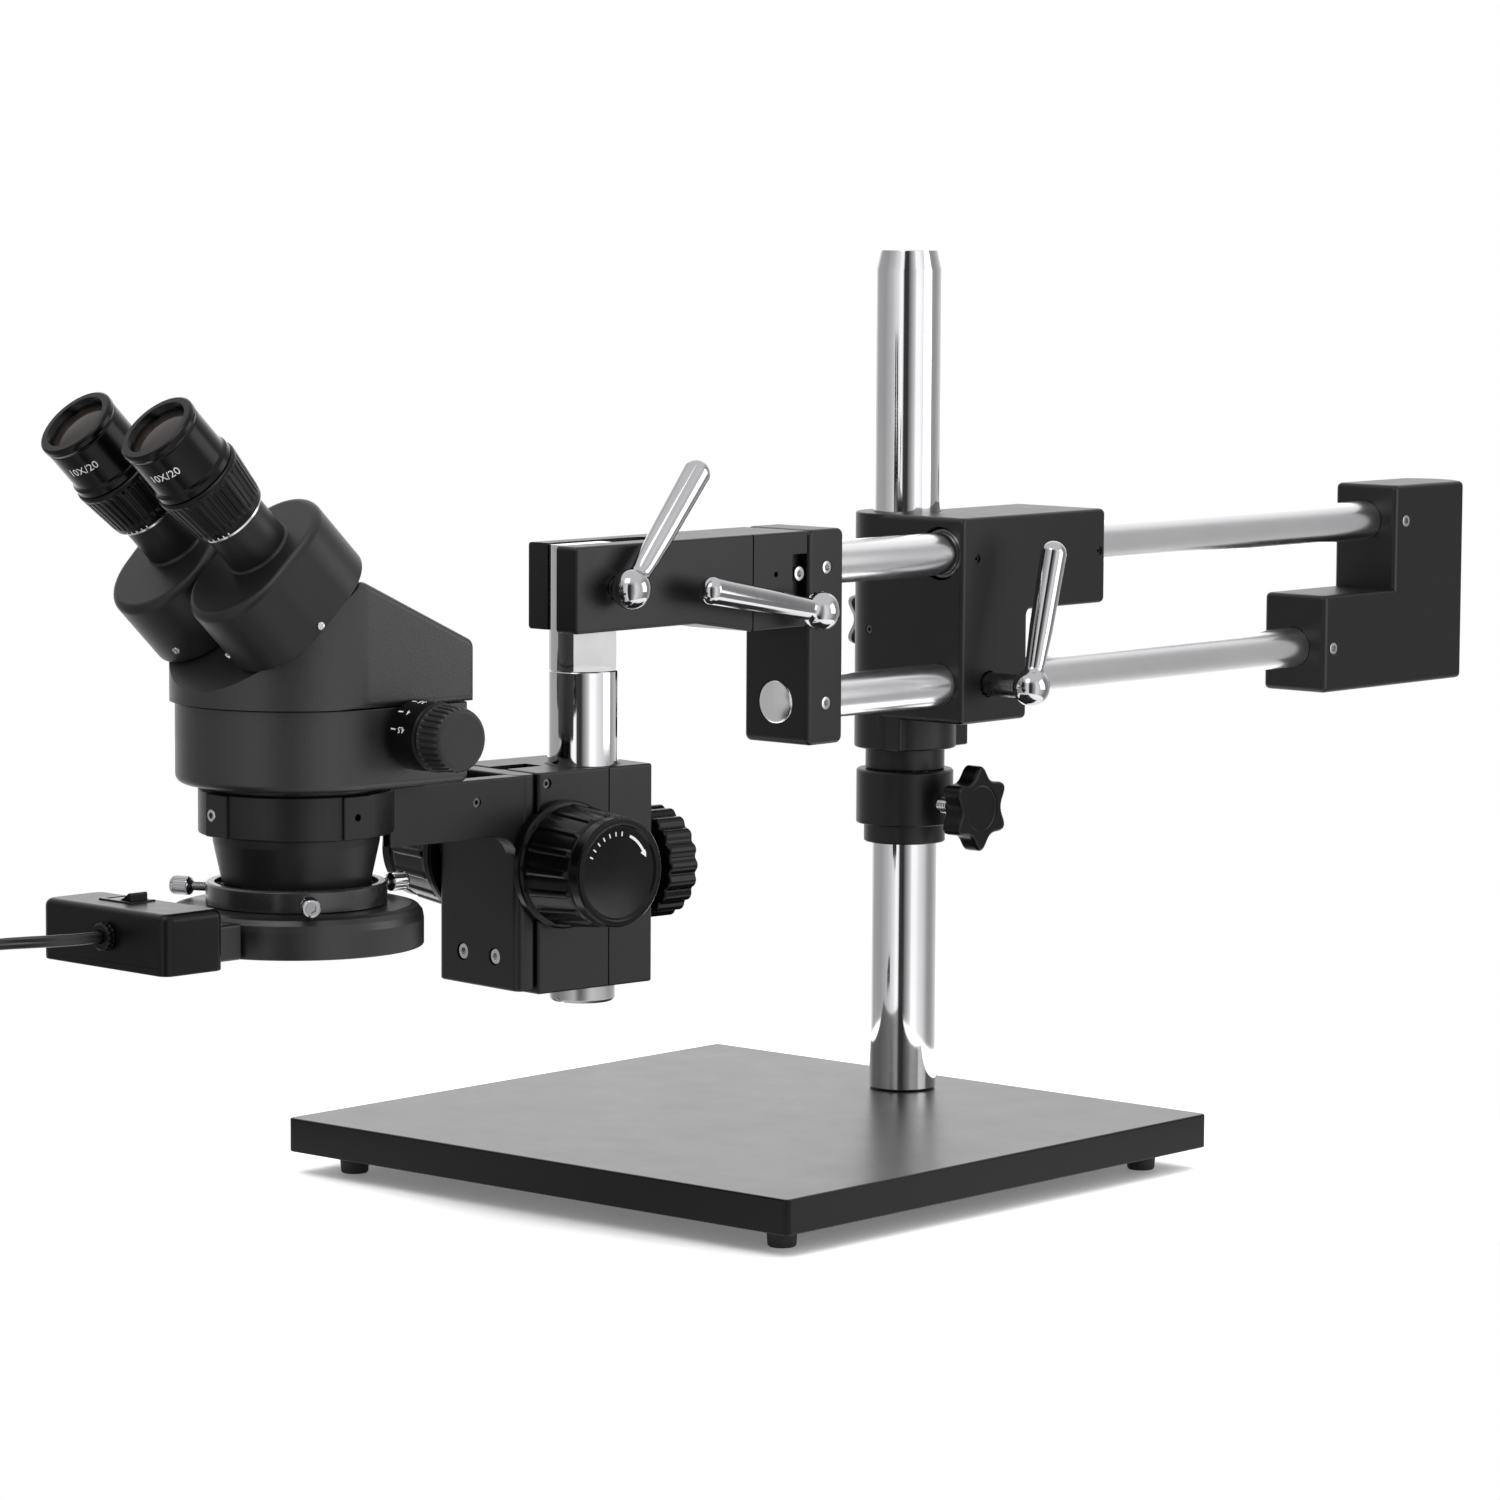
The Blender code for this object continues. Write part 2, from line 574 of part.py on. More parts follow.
def build_focus_block(head):
    outline = round_cornered((BLOCK_LEFT, BLOCK_FRONT), (BLOCK_RIGHT, BLOCK_REAR), 1.5, 2)
    focus = piece("focus_block", slab(outline, BLOCK_BOTTOM, BLOCK_TOP), "black", head)
    cut(focus, cylinder(POST_RADIUS + GAP, BLOCK_BOTTOM - 1, BLOCK_TOP + 1, 36))
    # Channel for the rack, open towards the carriage
    cut(focus, block((-16.0, BLOCK_FRONT - 1, BLOCK_BOTTOM - 1), (-4.0, -19.5, BLOCK_TOP + 1)))
    cut(focus, cylinder(5.3, BLOCK_LEFT - 1, BLOCK_RIGHT + 1, 20), at=(0, FOCUS_AXIS_Y, FOCUS_AXIS_Z), turn=(0, 90, 0))
    cut(focus, cylinder(4.3, 10.0, BLOCK_REAR + 1, 16), at=(0, 0, POST_KNOB_Z), turn=(-90, 0, 0))
    cut(focus, cylinder(2.3, BLOCK_RIGHT - 3, BLOCK_RIGHT + 1, 12), at=(0, -35.0, 202.4), turn=(0, 90, 0))
    knob = [(0, 47.5), (22.5, 47.5), (25.0, 45.0), (25.0, 31.0), (23.5, 29.5), (11.0, 29.5),
            (11.0, 26.5), (3.9, 26.5), (3.9, POST_RADIUS + 0.9), (0, POST_RADIUS + 0.9)]
    turned("post_clamp_knob", knob, "plastic", head, (0, 0, POST_KNOB_Z), (-90, 0, 0), steps=28)


def build_focus_drive(head):
    shaft = [(0, 39.5), (5.0, 39.5), (5.0, -5.2), (PINION_RADIUS, -5.2), (PINION_RADIUS, -14.8),
             (5.0, -14.8), (5.0, -59.5), (0, -59.5)]
    turned("pinion_shaft", shaft, "steel", head, (0, FOCUS_AXIS_Y, FOCUS_AXIS_Z), (0, 90, 0), steps=20)
    inner = BLOCK_RIGHT + 0.8
    outer = BLOCK_RIGHT + FOCUS_KNOB_LENGTH + 1.5
    grip = [(0, outer - 1.2), (19.5, outer - 1.2), (20.5, outer), (23.2, outer), (24.2, outer - 1.5),
            (24.2, outer - 7), (25.3, outer - 8), (27.4, inner + 5), (28.0, inner + 4), (28.0, inner),
            (5.3, inner), (5.3, 40.0), (0, 40.0)]
    turned("focus_knob_right", grip, "plastic", head, (0, FOCUS_AXIS_Y, FOCUS_AXIS_Z), (0, 90, 0), steps=32)
    middle = BLOCK_LEFT + BLOCK_RIGHT
    turned("focus_knob_left", grip, "plastic", head, (middle, FOCUS_AXIS_Y, FOCUS_AXIS_Z), (0, -90, 0), steps=32)


def build_holder(head):
    plate = round_cornered((BLOCK_LEFT, PLATE_FRONT), (BLOCK_RIGHT, BLOCK_FRONT - 0.6), 4.5, 3)
    holder = piece("microscope_holder", slab(plate, 112.5, BLOCK_TOP - 0.3), "black", head)
    join(holder, cylinder(RING_OUTER, RING_BOTTOM, BLOCK_TOP - 0.5, 48), at=(RING_X, RING_Y, 0))
    # Two arms, each with a round fillet where it meets the plate
    rib = [(RING_Y + 29.0, BLOCK_TOP - 0.4), (RING_Y + 29.0, 181.0)]
    rib += arc((-63.5, 168.0), 13.0, 90, 0, 5)
    rib += [(PLATE_FRONT + 5, 168.0), (PLATE_FRONT + 5, BLOCK_TOP - 0.4)]
    join(holder, side_slab(rib, BLOCK_RIGHT - 9.0, BLOCK_RIGHT - 0.2))
    join(holder, side_slab(rib, BLOCK_LEFT + 0.2, BLOCK_LEFT + 9.0))
    for angle in (-90, 0, 180):
        lug = block((RING_OUTER - 3, -7.0, RING_BOTTOM + 0.3), (RING_OUTER + 1.0, 7.0, BLOCK_TOP - 0.8))
        join(holder, lug, at=(RING_X, RING_Y, 0), turn=(0, 0, angle))
    cut(holder, cylinder(RING_INNER, 160.0, BLOCK_TOP + 1, 48), at=(RING_X, RING_Y, 0))
    for x in (-20.5, 1.5):
        cut(holder, cylinder(3.2, -PLATE_FRONT - 3.5, -PLATE_FRONT + 1, 14), at=(x, 0, 126.5), turn=(90, 0, 0))
    piece("focus_rack", block((-13.5, BLOCK_FRONT - 0.3, 128.0), (-6.5, FOCUS_AXIS_Y - PINION_RADIUS - GAP, 206.0)),
          "brass", head)


# ---------------------------------------------------------------- microscope body

def d_plan(radius, rear, corner=4.0):
    """Plan of the body: round at the front, straight sides and a flat rear."""
    points = arc((0, 0), radius, 180, 360, 24)
    points += arc((radius - corner, rear - corner), corner, 0, 90, 3)
    points += arc((corner - radius, rear - corner), corner, 90, 180, 3)
    return points


def build_body(pod):
    lower = piece("lower_housing", slab(d_plan(LOWER_RADIUS, BODY_REAR - 0.8), BODY_BOTTOM, BODY_SEAM + 8), "wrinkle", pod)
    round_edges(lower, 3.5, 2, 50)
    cut(lower, block((-70, -70, BODY_SEAM - 0.2), (70, 70, BODY_SEAM + 20)))
    join(lower, cylinder(NECK_RADIUS, 188.2, BODY_BOTTOM + 2, 48))
    cut(lower, slab(d_plan(LOWER_RADIUS - WALL, BODY_REAR - 0.8 - WALL, 2.0), BODY_BOTTOM + WALL, BODY_SEAM + 2))
    cut(lower, cylinder(31.0, 180, BODY_BOTTOM + 6, 40))
    cut(lower, cylinder(3.3, -60, 60, 16), at=(0, ZOOM_AXIS_Y, ZOOM_AXIS_Z), turn=(0, 90, 0))

    nose = -UPPER_RADIUS - 1
    side = [(nose, BODY_SEAM + 0.1), (nose, ROOF_FRONT_Z + nose - ROOF_FRONT_Y),
            (ROOF_FRONT_Y, ROOF_FRONT_Z), (BODY_REAR, ROOF_REAR_Z), (BODY_REAR, BODY_SEAM + 0.1)]
    upper = piece("upper_housing", side_slab(side, -UPPER_RADIUS, UPPER_RADIUS), "wrinkle", pod)
    round_edges(upper, 1.6, 2, 30)
    wide = UPPER_RADIUS + 1
    plan = arc((0, 0), UPPER_RADIUS, 180, 360, 24) + [(wide, 0.5), (wide, 70), (-wide, 70), (-wide, 0.5)]
    trim(upper, slab(plan, BODY_SEAM - 5, ROOF_FRONT_Z + 5))
    seat = ROOF_FRONT_Z - ROOF_FRONT_Y - WALL * math.sqrt(2)
    slope = (ROOF_FRONT_Z - ROOF_REAR_Z) / (BODY_REAR - ROOF_FRONT_Y)
    roof = ROOF_FRONT_Z + slope * ROOF_FRONT_Y - WALL * math.hypot(1, slope)
    ridge = (roof - seat) / (1 + slope)
    front = WALL - UPPER_RADIUS
    rear = BODY_REAR - WALL
    cavity = [(front, BODY_SEAM - 2), (front, seat + front), (ridge, seat + ridge),
              (rear, roof - slope * rear), (rear, BODY_SEAM - 2)]
    hollow = helper(side_slab(cavity, front, -front), upper)
    trim(hollow, slab(d_plan(UPPER_RADIUS - WALL, BODY_REAR, 1.0), BODY_SEAM - 5, ROOF_FRONT_Z + 5))
    inside = upper.modifiers.new("Hollow", "BOOLEAN")
    inside.operation = "DIFFERENCE"
    inside.object = hollow
    return upper


def build_optics(pod):
    cone = [(24.0, CONE_TOP), (35.6, CONE_TOP), (35.3, CONE_TOP - 3.5), (CONE_RADIUS, CONE_STEP),
            (CONE_RADIUS, CONE_BOTTOM), (24.0, CONE_BOTTOM)]
    turned("objective_cone", cone, "black", pod, steps=40, closed=True)
    turned("objective_lens", [(0, 176.0), (23.6, 173.0), (23.6, 169.0), (0, 166.0)], "glass", pod, steps=28)
    piece("zoom_shaft", cylinder(3.0, -70.0, 70.0, 14), "steel", pod, (0, ZOOM_AXIS_Y, ZOOM_AXIS_Z), (0, 90, 0))
    cell = [(10.0, 225.0), (16.0, 225.0), (16.0, 219.0), (10.0, 219.0)]
    turned("zoom_lens_cell", cell, "steel", pod, steps=24, closed=True)
    knob = [(0, 85.5), (12.6, 85.5), (14.0, 84.3), (14.2, 72.0), (14.6, 71.0), (14.8, 56.0), (13.6, 54.0),
            (3.4, 54.0), (3.4, 70.5), (0, 70.5)]
    turned("zoom_knob_right", knob, "plastic", pod, (0, ZOOM_AXIS_Y, ZOOM_AXIS_Z), (0, 90, 0), steps=28)
    turned("zoom_knob_left", knob, "plastic", pod, (0, ZOOM_AXIS_Y, ZOOM_AXIS_Z), (0, -90, 0), steps=28)


def build_eyepieces(pod, upper):
    seat = frame("seat", (0, SEAT_Y, SEAT_Z), (SEAT_TILT, 0, 0), pod)
    for side, name in ((1, "right"), (-1, "left")):
        swivel = frame(f"{name}_swivel", (side * SWIVEL_X, SWIVEL_Y, 0), (0, 0, 0), seat)
        outer = belt((0, 0), 26.7, (side * 2.3, 17.0), 25.2, 10)
        box = piece(f"prism_box_{name}", slab(outer, 0.6, BOX_HEIGHT), "wrinkle", swivel)
        round_edges(box, 2.2, 2, 50)
        cut(box, slab(belt((0, 0), 23.5, (side * 2.3, 17.0), 22.0, 6), -1.0, BOX_HEIGHT - 3.5))
        eye = (side * (EYE_X - SWIVEL_X), EYE_Y - SWIVEL_Y, 0)
        join(box, cylinder(13.8, BOX_HEIGHT - 1, 77.0, 28), at=eye)
        cut(box, cylinder(11.8, BOX_HEIGHT - 6, 78.0, 28), at=eye)
        piece(f"prism_{name}", block((-13.0, -13.0, 5.0), (13.0, 24.0, 25.0)), "glass", swivel)
        ring = [(14.1, 79.6), (18.6, 79.6), (19.0, 78.5), (18.6, 70.0), (16.6, 56.0), (16.3, 54.5), (14.1, 54.5)]
        turned(f"diopter_ring_{name}", ring, "plastic", swivel, eye, steps=28, closed=True)
        body = [(0, 104.0), (12.3, 104.0), (13.0, EYE_TOP), (17.2, EYE_TOP), (17.6, EYE_TOP - 1), (17.6, 103.2),
                (17.2, 102.5), (17.2, 84.0), (18.2, 82.5), (18.2, 80.0), (11.5, 80.0), (11.5, 64.0), (0, 64.0)]
        turned(f"eyepiece_{name}", body, "plastic", swivel, eye, steps=28)
        # Light path from the body into the box
        window = cylinder(9.0, -8.0, 4.0, 20)
        hole = helper(window, upper)
        hole.parent = swivel
        hole.matrix_basis = Matrix.Identity(4)
        opening = upper.modifiers.new("Light path", "BOOLEAN")
        opening.operation = "DIFFERENCE"
        opening.object = hole


# ---------------------------------------------------------------- ring light

def build_ring_light(light):
    adapter = [(34.8, ADAPTER_TOP), (37.6, ADAPTER_TOP), (ADAPTER_RADIUS, ADAPTER_TOP - 1),
               (ADAPTER_RADIUS, LIGHT_TOP + GAP), (34.8, LIGHT_TOP + GAP)]
    clamp = turned("light_adapter", adapter, "black", light, steps=48, closed=True)
    screw = [(0, 58.0), (3.6, 58.0), (4.1, 57.3), (4.1, 48.5), (2.0, 48.0), (2.0, CONE_RADIUS + 0.5), (0, CONE_RADIUS + 0.5)]
    for number, angle in enumerate(THUMB_ANGLES, 1):
        cut(clamp, cylinder(2.3, 30.0, 42.0, 12), at=(0, 0, THUMB_Z), turn=(0, 90, angle))
        turned(f"thumb_screw_{number}", screw, "steel", light, (0, 0, THUMB_Z), (0, 90, angle), steps=16)
    shell = [(33.0, LIGHT_TOP), (48.5, LIGHT_TOP), (51.8, LIGHT_TOP - 0.9), (53.5, LIGHT_TOP - 3.2),
             (LIGHT_RADIUS, LIGHT_TOP - 6), (LIGHT_RADIUS, LIGHT_BOTTOM), (50.0, LIGHT_BOTTOM),
             (50.0, LIGHT_BOTTOM + 7), (37.0, LIGHT_BOTTOM + 7), (37.0, LIGHT_BOTTOM), (33.0, LIGHT_BOTTOM)]
    housing = turned("light_housing", shell, "black", light, steps=48, closed=True)
    join(housing, block((-24.0, CONTROL_REAR + GAP, LIGHT_BOTTOM + 0.4), (24.0, -51.0, LIGHT_TOP - 1.5)))
    led = [(37.4, 145.5), (49.6, 145.5), (49.6, 141.5), (37.4, 141.5)]
    turned("led_ring", led, "led", light, steps=40, closed=True)
    half = CONTROL_WIDTH / 2
    box = piece("control_box", slab(round_cornered((-half, CONTROL_FRONT), (half, CONTROL_REAR), 4.5, 3),
                                    LIGHT_BOTTOM, CONTROL_TOP), "black", light)
    round_edges(box, 2.5, 2, 50)
    cut(box, block((-8.3, -5.3, CONTROL_TOP - 6), (8.3, 5.3, CONTROL_TOP + 2)), at=(ROCKER_X, ROCKER_Y, 0))
    cut(box, cylinder(4.0, -CONTROL_FRONT - 8, -CONTROL_FRONT + 1, 16), at=(GLAND_X, 0, GLAND_Z), turn=(90, 0, 0))
    # The rocker turns about Y; its top has a raised right end
    rocker = [(-7.6, -4.0), (7.6, -4.0), (7.6, 4.2), (6.6, 4.6), (0.0, 1.4), (-7.6, 1.0)]
    lever_mesh = slab(rocker, -4.7, 4.7)
    lever_mesh.transform(Matrix.Rotation(math.radians(90), 4, "X"))
    piece("rocker_switch", lever_mesh, "plastic", light, (ROCKER_X, ROCKER_Y, CONTROL_TOP - 0.6))
    start = -CONTROL_FRONT + GAP
    gland = [(2.9, start + 3.6), (5.0, start + 3.6), (5.9, start + 2.6), (5.9, start), (3.7, start),
             (3.7, start - 6), (2.9, start - 6)]
    turned("cable_gland", gland, "plastic", light, (GLAND_X, 0, GLAND_Z), (90, 0, 0), steps=20, closed=True)


def build_cord(light):
    route = bpy.data.curves.new("lead_route", "CURVE")
    route.dimensions = "3D"
    route.bevel_depth = CORD_RADIUS * MM
    route.bevel_resolution = 2
    route.use_fill_caps = True
    points = smooth_route(CORD_ROUTE, 2)
    spline = route.splines.new("POLY")
    spline.points.add(len(points) - 1)
    for point, spot in zip(spline.points, points):
        point.co = (*metres(spot), 1.0)
    lead = bpy.data.objects.new("light_lead", route)
    PARTS.objects.link(lead)
    lead.parent = light
    route.materials.append(material("light_lead", "cord"))
    coil = [(COIL_INNER + 1.5, COIL_TOP), (COIL_OUTER - 1.5, COIL_TOP), (COIL_OUTER, COIL_TOP - 2.5), (COIL_OUTER, 2.0),
            (COIL_OUTER - 1.5, 0.2), (COIL_INNER + 1.5, 0.2), (COIL_INNER, 2.0), (COIL_INNER, COIL_TOP - 2.5)]
    turned("lead_coil", coil, "cord", light, (COIL_X, COIL_Y, 0), steps=32, closed=True)
    # Two-pin plug lying beside the coil, its blades pointing along +Y
    body = [(-3.0, -3.0), (3.0, -8.0), (8.0, -11.5), (24.0, -11.5), (26.0, -9.5), (26.0, 9.5), (24.0, 11.5),
            (8.0, 11.5), (3.0, 8.0), (-3.0, 3.0)]
    plug = piece("mains_plug", slab(body, 0.3, 11.3), "plastic", light, (PLUG_X, PLUG_Y, 0), (0, 0, 90))
    for y in (-6.35, 6.35):
        join(plug, block((25.0, y - 0.75, 2.6), (43.0, y + 0.75, 9.0)))


def smooth_route(points, steps):
    """Catmull-Rom curve through the points."""
    rows = [Vector(point) for point in points]
    rows = [rows[0] * 2 - rows[1]] + rows + [rows[-1] * 2 - rows[-2]]
    result = []
    for i in range(1, len(rows) - 2):
        before, start, end, after = rows[i - 1:i + 3]
        for j in range(steps):
            t = j / steps
            result.append(0.5 * (2 * start + (end - before) * t + (2 * before - 5 * start + 4 * end - after) * t ** 2
                                 + (3 * start - before - 3 * end + after) * t ** 3))
    result.append(rows[-2])
    return result


if __name__ == "__main__":
    clear_scene()
    PARTS = make_collection("stereo_microscope")
    CUTTERS = make_collection("cutters")
    build_base()
    build_collar()
    build_boom()
    build_arms()
    build_knuckle()
    build_post()
    HEAD = frame("head", (POST_X, POST_Y, 0), (0, 0, HEAD_TURN))
    build_focus_block(HEAD)
    build_focus_drive(HEAD)
    build_holder(HEAD)
    POD = frame("pod", (RING_X, RING_Y, 0), parent=HEAD)
    build_body(POD)
    build_optics(POD)
    build_eyepieces(POD, bpy.data.objects["upper_housing"])
    LIGHT = frame("ring_light", turn=(0, 0, LIGHT_TURN), parent=POD)
    build_ring_light(LIGHT)
    build_cord(LIGHT)
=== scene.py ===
"""Visual model of a stereo zoom microscope on a double-arm boom stand.

Shapes are made in millimetres, in the frame of the piece that they belong to, and
are written in metres in the row frame. WORLD has the base plate's middle as origin.
"""
import math

import bmesh
import bpy
from mathutils import Euler
from mathutils import Matrix
from mathutils import Vector


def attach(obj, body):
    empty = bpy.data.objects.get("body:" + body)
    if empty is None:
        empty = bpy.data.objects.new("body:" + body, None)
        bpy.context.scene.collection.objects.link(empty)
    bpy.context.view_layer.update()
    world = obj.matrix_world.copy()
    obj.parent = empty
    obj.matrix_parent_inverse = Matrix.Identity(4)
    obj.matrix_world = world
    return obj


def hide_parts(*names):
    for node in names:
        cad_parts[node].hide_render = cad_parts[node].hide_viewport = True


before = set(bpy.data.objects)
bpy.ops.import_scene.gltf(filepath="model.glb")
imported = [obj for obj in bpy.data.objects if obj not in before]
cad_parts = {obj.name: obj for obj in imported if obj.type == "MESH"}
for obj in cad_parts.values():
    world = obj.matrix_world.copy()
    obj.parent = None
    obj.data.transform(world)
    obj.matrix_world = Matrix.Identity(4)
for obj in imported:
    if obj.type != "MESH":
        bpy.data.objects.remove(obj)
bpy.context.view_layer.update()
MM = 0.001
TO_X, TO_Y = (0, 90, 0), (-90, 0, 0)
SIDEWAYS = Matrix(((0, 0, 1, 0), (1, 0, 0, 0), (0, 1, 0, 0), (0, 0, 0, 1)))


def place(at=(0, 0, 0), turn=(0, 0, 0)):
    """A frame in millimetres: its origin, then its turns about X, Y and Z in degrees."""
    angles = Euler([math.radians(angle) for angle in turn])
    return Matrix.Translation(at) @ angles.to_matrix().to_4x4()


def linked(name, data):
    """A new object in the scene."""
    obj = bpy.data.objects.new(name, data)
    bpy.context.scene.collection.objects.link(obj)
    return obj


# ---------------------------------------------------------------- frames and dimensions

WORLD = place((0, -43, 0))
POST_X, POST_Y, TILT_Z = 40.5, -159.0, 285.7
HEAD = WORLD @ place((POST_X, POST_Y, 0), (0, 0, -7))
POD = HEAD @ place((-10, -150, 0))
LIGHT = POD @ place((0, 0, 0), (0, 0, 4))
SEAT = POD @ place((0, -23.9, 280), (45, 0, 0))
STAND = WORLD @ place((0, 112, 0))

# The same arms, coil and lead as in the CAD
ARM_X, ARM_R, UPPER_Z, LOWER_Z = 40.5, 10.0, 287.4, 225.4
END_LEFT, END_RIGHT = 21.5, 60.0
COIL = (-104.0, -134.0)
COIL_R, COIL_TOP, PLUG_Z = 31.5, 7.9, 5.8
PLUG = (-149.9, -100.0)
CORD_ROUTE = (
    (3.0, -107.0, 153.5), (3.0, -113.0, 153.5), (1.5, -121.5, 153.4), (-2.6, -130.5, 153.2),
    (-8.8, -138.6, 152.8), (-16.6, -145.6, 152.0), (-25.6, -151.4, 150.4), (-35.0, -155.9, 146.9),
    (-43.8, -159.2, 140.9), (-51.0, -161.4, 132.2), (-56.2, -162.8, 121.3), (-59.4, -163.6, 109.2),
    (-61.2, -164.1, 96.6), (-62.2, -164.4, 83.9), (-62.8, -164.7, 71.2), (-63.2, -164.9, 58.5),
    (-63.6, -165.1, 46.0), (-64.0, -165.2, 34.7), (-65.1, -165.3, 26.4), (-68.3, -165.4, 18.7),
    (-73.4, -165.5, 12.1), (-80.0, -165.5, 7.0), (-87.7, -165.5, 3.4), (-96.0, -165.5, 1.8),
)


# ---------------------------------------------------------------- camera

AZIMUTH = math.radians(41.18)


def make_camera():
    azimuth, elevation, roll = AZIMUTH, math.radians(6.06), math.radians(0.31)
    back = Vector((math.sin(azimuth) * math.cos(elevation), -math.cos(azimuth) * math.cos(elevation),
                   math.sin(elevation)))
    right = Vector((math.cos(azimuth), math.sin(azimuth), 0))
    up = back.cross(right)
    right, up = (right * math.cos(roll) + up * math.sin(roll), up * math.cos(roll) - right * math.sin(roll))
    camera = linked("camera", bpy.data.cameras.new("camera"))
    camera.data.lens = 136.3
    camera.data.sensor_width = 36.0
    camera.data.clip_start = 0.05
    camera.data.clip_end = 50.0
    spot = Vector((1729.41, -1977.94 - 43.0, 477.08)) * MM
    turn = Matrix((right, up, back)).transposed().to_4x4()
    camera.matrix_world = Matrix.Translation(spot) @ turn
    bpy.context.scene.camera = camera


make_camera()


# ---------------------------------------------------------------- shapes, as bmesh in millimetres

def polar(radius, angle, x=0.0, y=0.0):
    """A point at an angle in radians around (x, y)."""
    return x + radius * math.cos(angle), y + radius * math.sin(angle)


def arc(centre, radius, start, end, steps):
    return [polar(radius, math.radians(start + (end - start) * i / steps), *centre) for i in range(steps + 1)]


def soften(points, radius, closed=False, steps=4):
    """Rounds the corners of a line. A point's third value is its own rounding radius."""
    result = []
    count = len(points)
    for i, point in enumerate(points):
        own = point[2] if len(point) > 2 else radius
        here = Vector(point[:2])
        if own <= 0 or (not closed and i in (0, count - 1)):
            result.append(tuple(here))
            continue
        before = here - Vector(points[i - 1][:2])
        after = Vector(points[(i + 1) % count][:2]) - here
        bend = math.atan2(before.cross(after), before.dot(after))
        if abs(bend) < 0.12:
            result.append(tuple(here))
            continue
        reach = min(own * math.tan(abs(bend) / 2), 0.45 * before.length, 0.45 * after.length)
        side = math.copysign(reach / math.tan(abs(bend) / 2), bend)
        start = here - before.normalized() * reach
        centre = start + Vector((-before.y, before.x)).normalized() * side
        for k in range(steps + 1):
            result.append(tuple(centre + Matrix.Rotation(bend * k / steps, 2) @ (start - centre)))
    return result


def lathe(profile, sides=96, soft=0.5, closed=False, ripple=None):
    """Turns a profile of (radius, height) about Z. ripple(angle, height) is added to the radius."""
    shape = bmesh.new()
    rings = []
    for radius, height in soften(profile, soft, closed):
        if radius < 1e-6:
            rings.append([shape.verts.new((0, 0, height))])
            continue
        ring = []
        for i in range(sides):
            angle = 2 * math.pi * i / sides
            r = radius + (ripple(angle, height) if ripple else 0.0)
            ring.append(shape.verts.new((*polar(r, angle), height)))
        rings.append(ring)
    pairs = list(zip(rings, rings[1:]))
    if closed:
        pairs.append((rings[-1], rings[0]))
    for upper, lower in pairs:
        for i in range(sides):
            j = (i + 1) % sides
            corners = (upper[i % len(upper)], upper[j % len(upper)], lower[j % len(lower)], lower[i % len(lower)])
            corners = list(dict.fromkeys(corners))
            if len(corners) > 2:
                shape.faces.new(corners)
    bmesh.ops.recalc_face_normals(shape, faces=shape.faces)
    return shape


def inset(outline, distance):
    """An outline that runs anticlockwise, moved inwards."""
    count = len(outline)
    result = []
    for i, point in enumerate(outline):
        here = Vector(point)
        before = (here - Vector(outline[i - 1])).normalized()
        after = (Vector(outline[(i + 1) % count]) - here).normalized()
        sides = Vector((-before.y, before.x)), Vector((-after.y, after.x))
        result.append(here + (sides[0] + sides[1]) * distance / (1 + sides[0].dot(sides[1])))
    return result


def prism(outline, low, high, soft=(0.0, 0.0), steps=4):
    """An XY outline between two heights, its lower and upper edges rounded by two radii."""
    soft = soft if isinstance(soft, tuple) else (soft, soft)
    count = len(outline)
    area = sum(outline[i - 1][0] * outline[i][1] - outline[i][0] * outline[i - 1][1] for i in range(count))
    outline = list(outline) if area > 0 else list(reversed(outline))
    levels = []
    for radius, edge, way in ((soft[0], low, 1), (soft[1], high, -1)):
        angles = [math.pi / 2 * k / steps for k in range(steps + 1)] if radius else [math.pi / 2]
        curve = [(radius * (1 - math.sin(a)), edge + way * radius * (1 - math.cos(a))) for a in angles]
        levels += curve if way > 0 else list(reversed(curve))
    shape = bmesh.new()
    rings = [[shape.verts.new((x, y, height)) for x, y in inset(outline, distance)] for distance, height in levels]
    for lower, upper in zip(rings, rings[1:]):
        for i in range(count):
            j = (i + 1) % count
            shape.faces.new((lower[i], lower[j], upper[j], upper[i]))
    shape.faces.new(list(reversed(rings[0])))
    shape.faces.new(rings[-1])
    return shape


def side_prism(outline, low, high, soft=0.0):
    """A YZ outline between two values of X."""
    shape = prism(outline, low, high, soft)
    shape.transform(SIDEWAYS)
    return shape


def rounded(low, high, radius, steps=6):
    left, right, front, rear = low[0] + radius, high[0] - radius, low[1] + radius, high[1] - radius
    corners = ((right, rear), (left, rear), (left, front), (right, front))
    return [point for k, corner in enumerate(corners)
            for point in arc(corner, radius, 90 * k, 90 * k + 90, steps)]


def box(low, high, soft=0.0):
    if soft:
        return prism(rounded(low[:2], high[:2], soft * 1.05), low[2], high[2], soft)
    return prism([(low[0], low[1]), (high[0], low[1]), (high[0], high[1]), (low[0], high[1])], low[2], high[2])


def rod(radius, low, high, sides=48, soft=0.0):
    return lathe([(0, high), (radius, high), (radius, low), (0, low)], sides, soft)


def moved(shape, at=(0, 0, 0), turn=(0, 0, 0)):
    shape.transform(place(at, turn))
    return shape


def across(radius, low, high, sides, y, z):
    """A rod along X."""
    return moved(rod(radius, low, high, sides), (0, y, z), TO_X)


def on_arm(shape, height):
    """A shape about Z, laid along the upper or the lower arm."""
    return moved(shape, (ARM_X, 0, height), TO_Y)


def group(*shapes):
    """Several shapes in one, without joining their surfaces."""
    mesh = bpy.data.meshes.new("group")
    result = bmesh.new()
    for shape in shapes:
        shape.to_mesh(mesh)
        shape.free()
        result.from_mesh(mesh)
    bpy.data.meshes.remove(mesh)
    return result


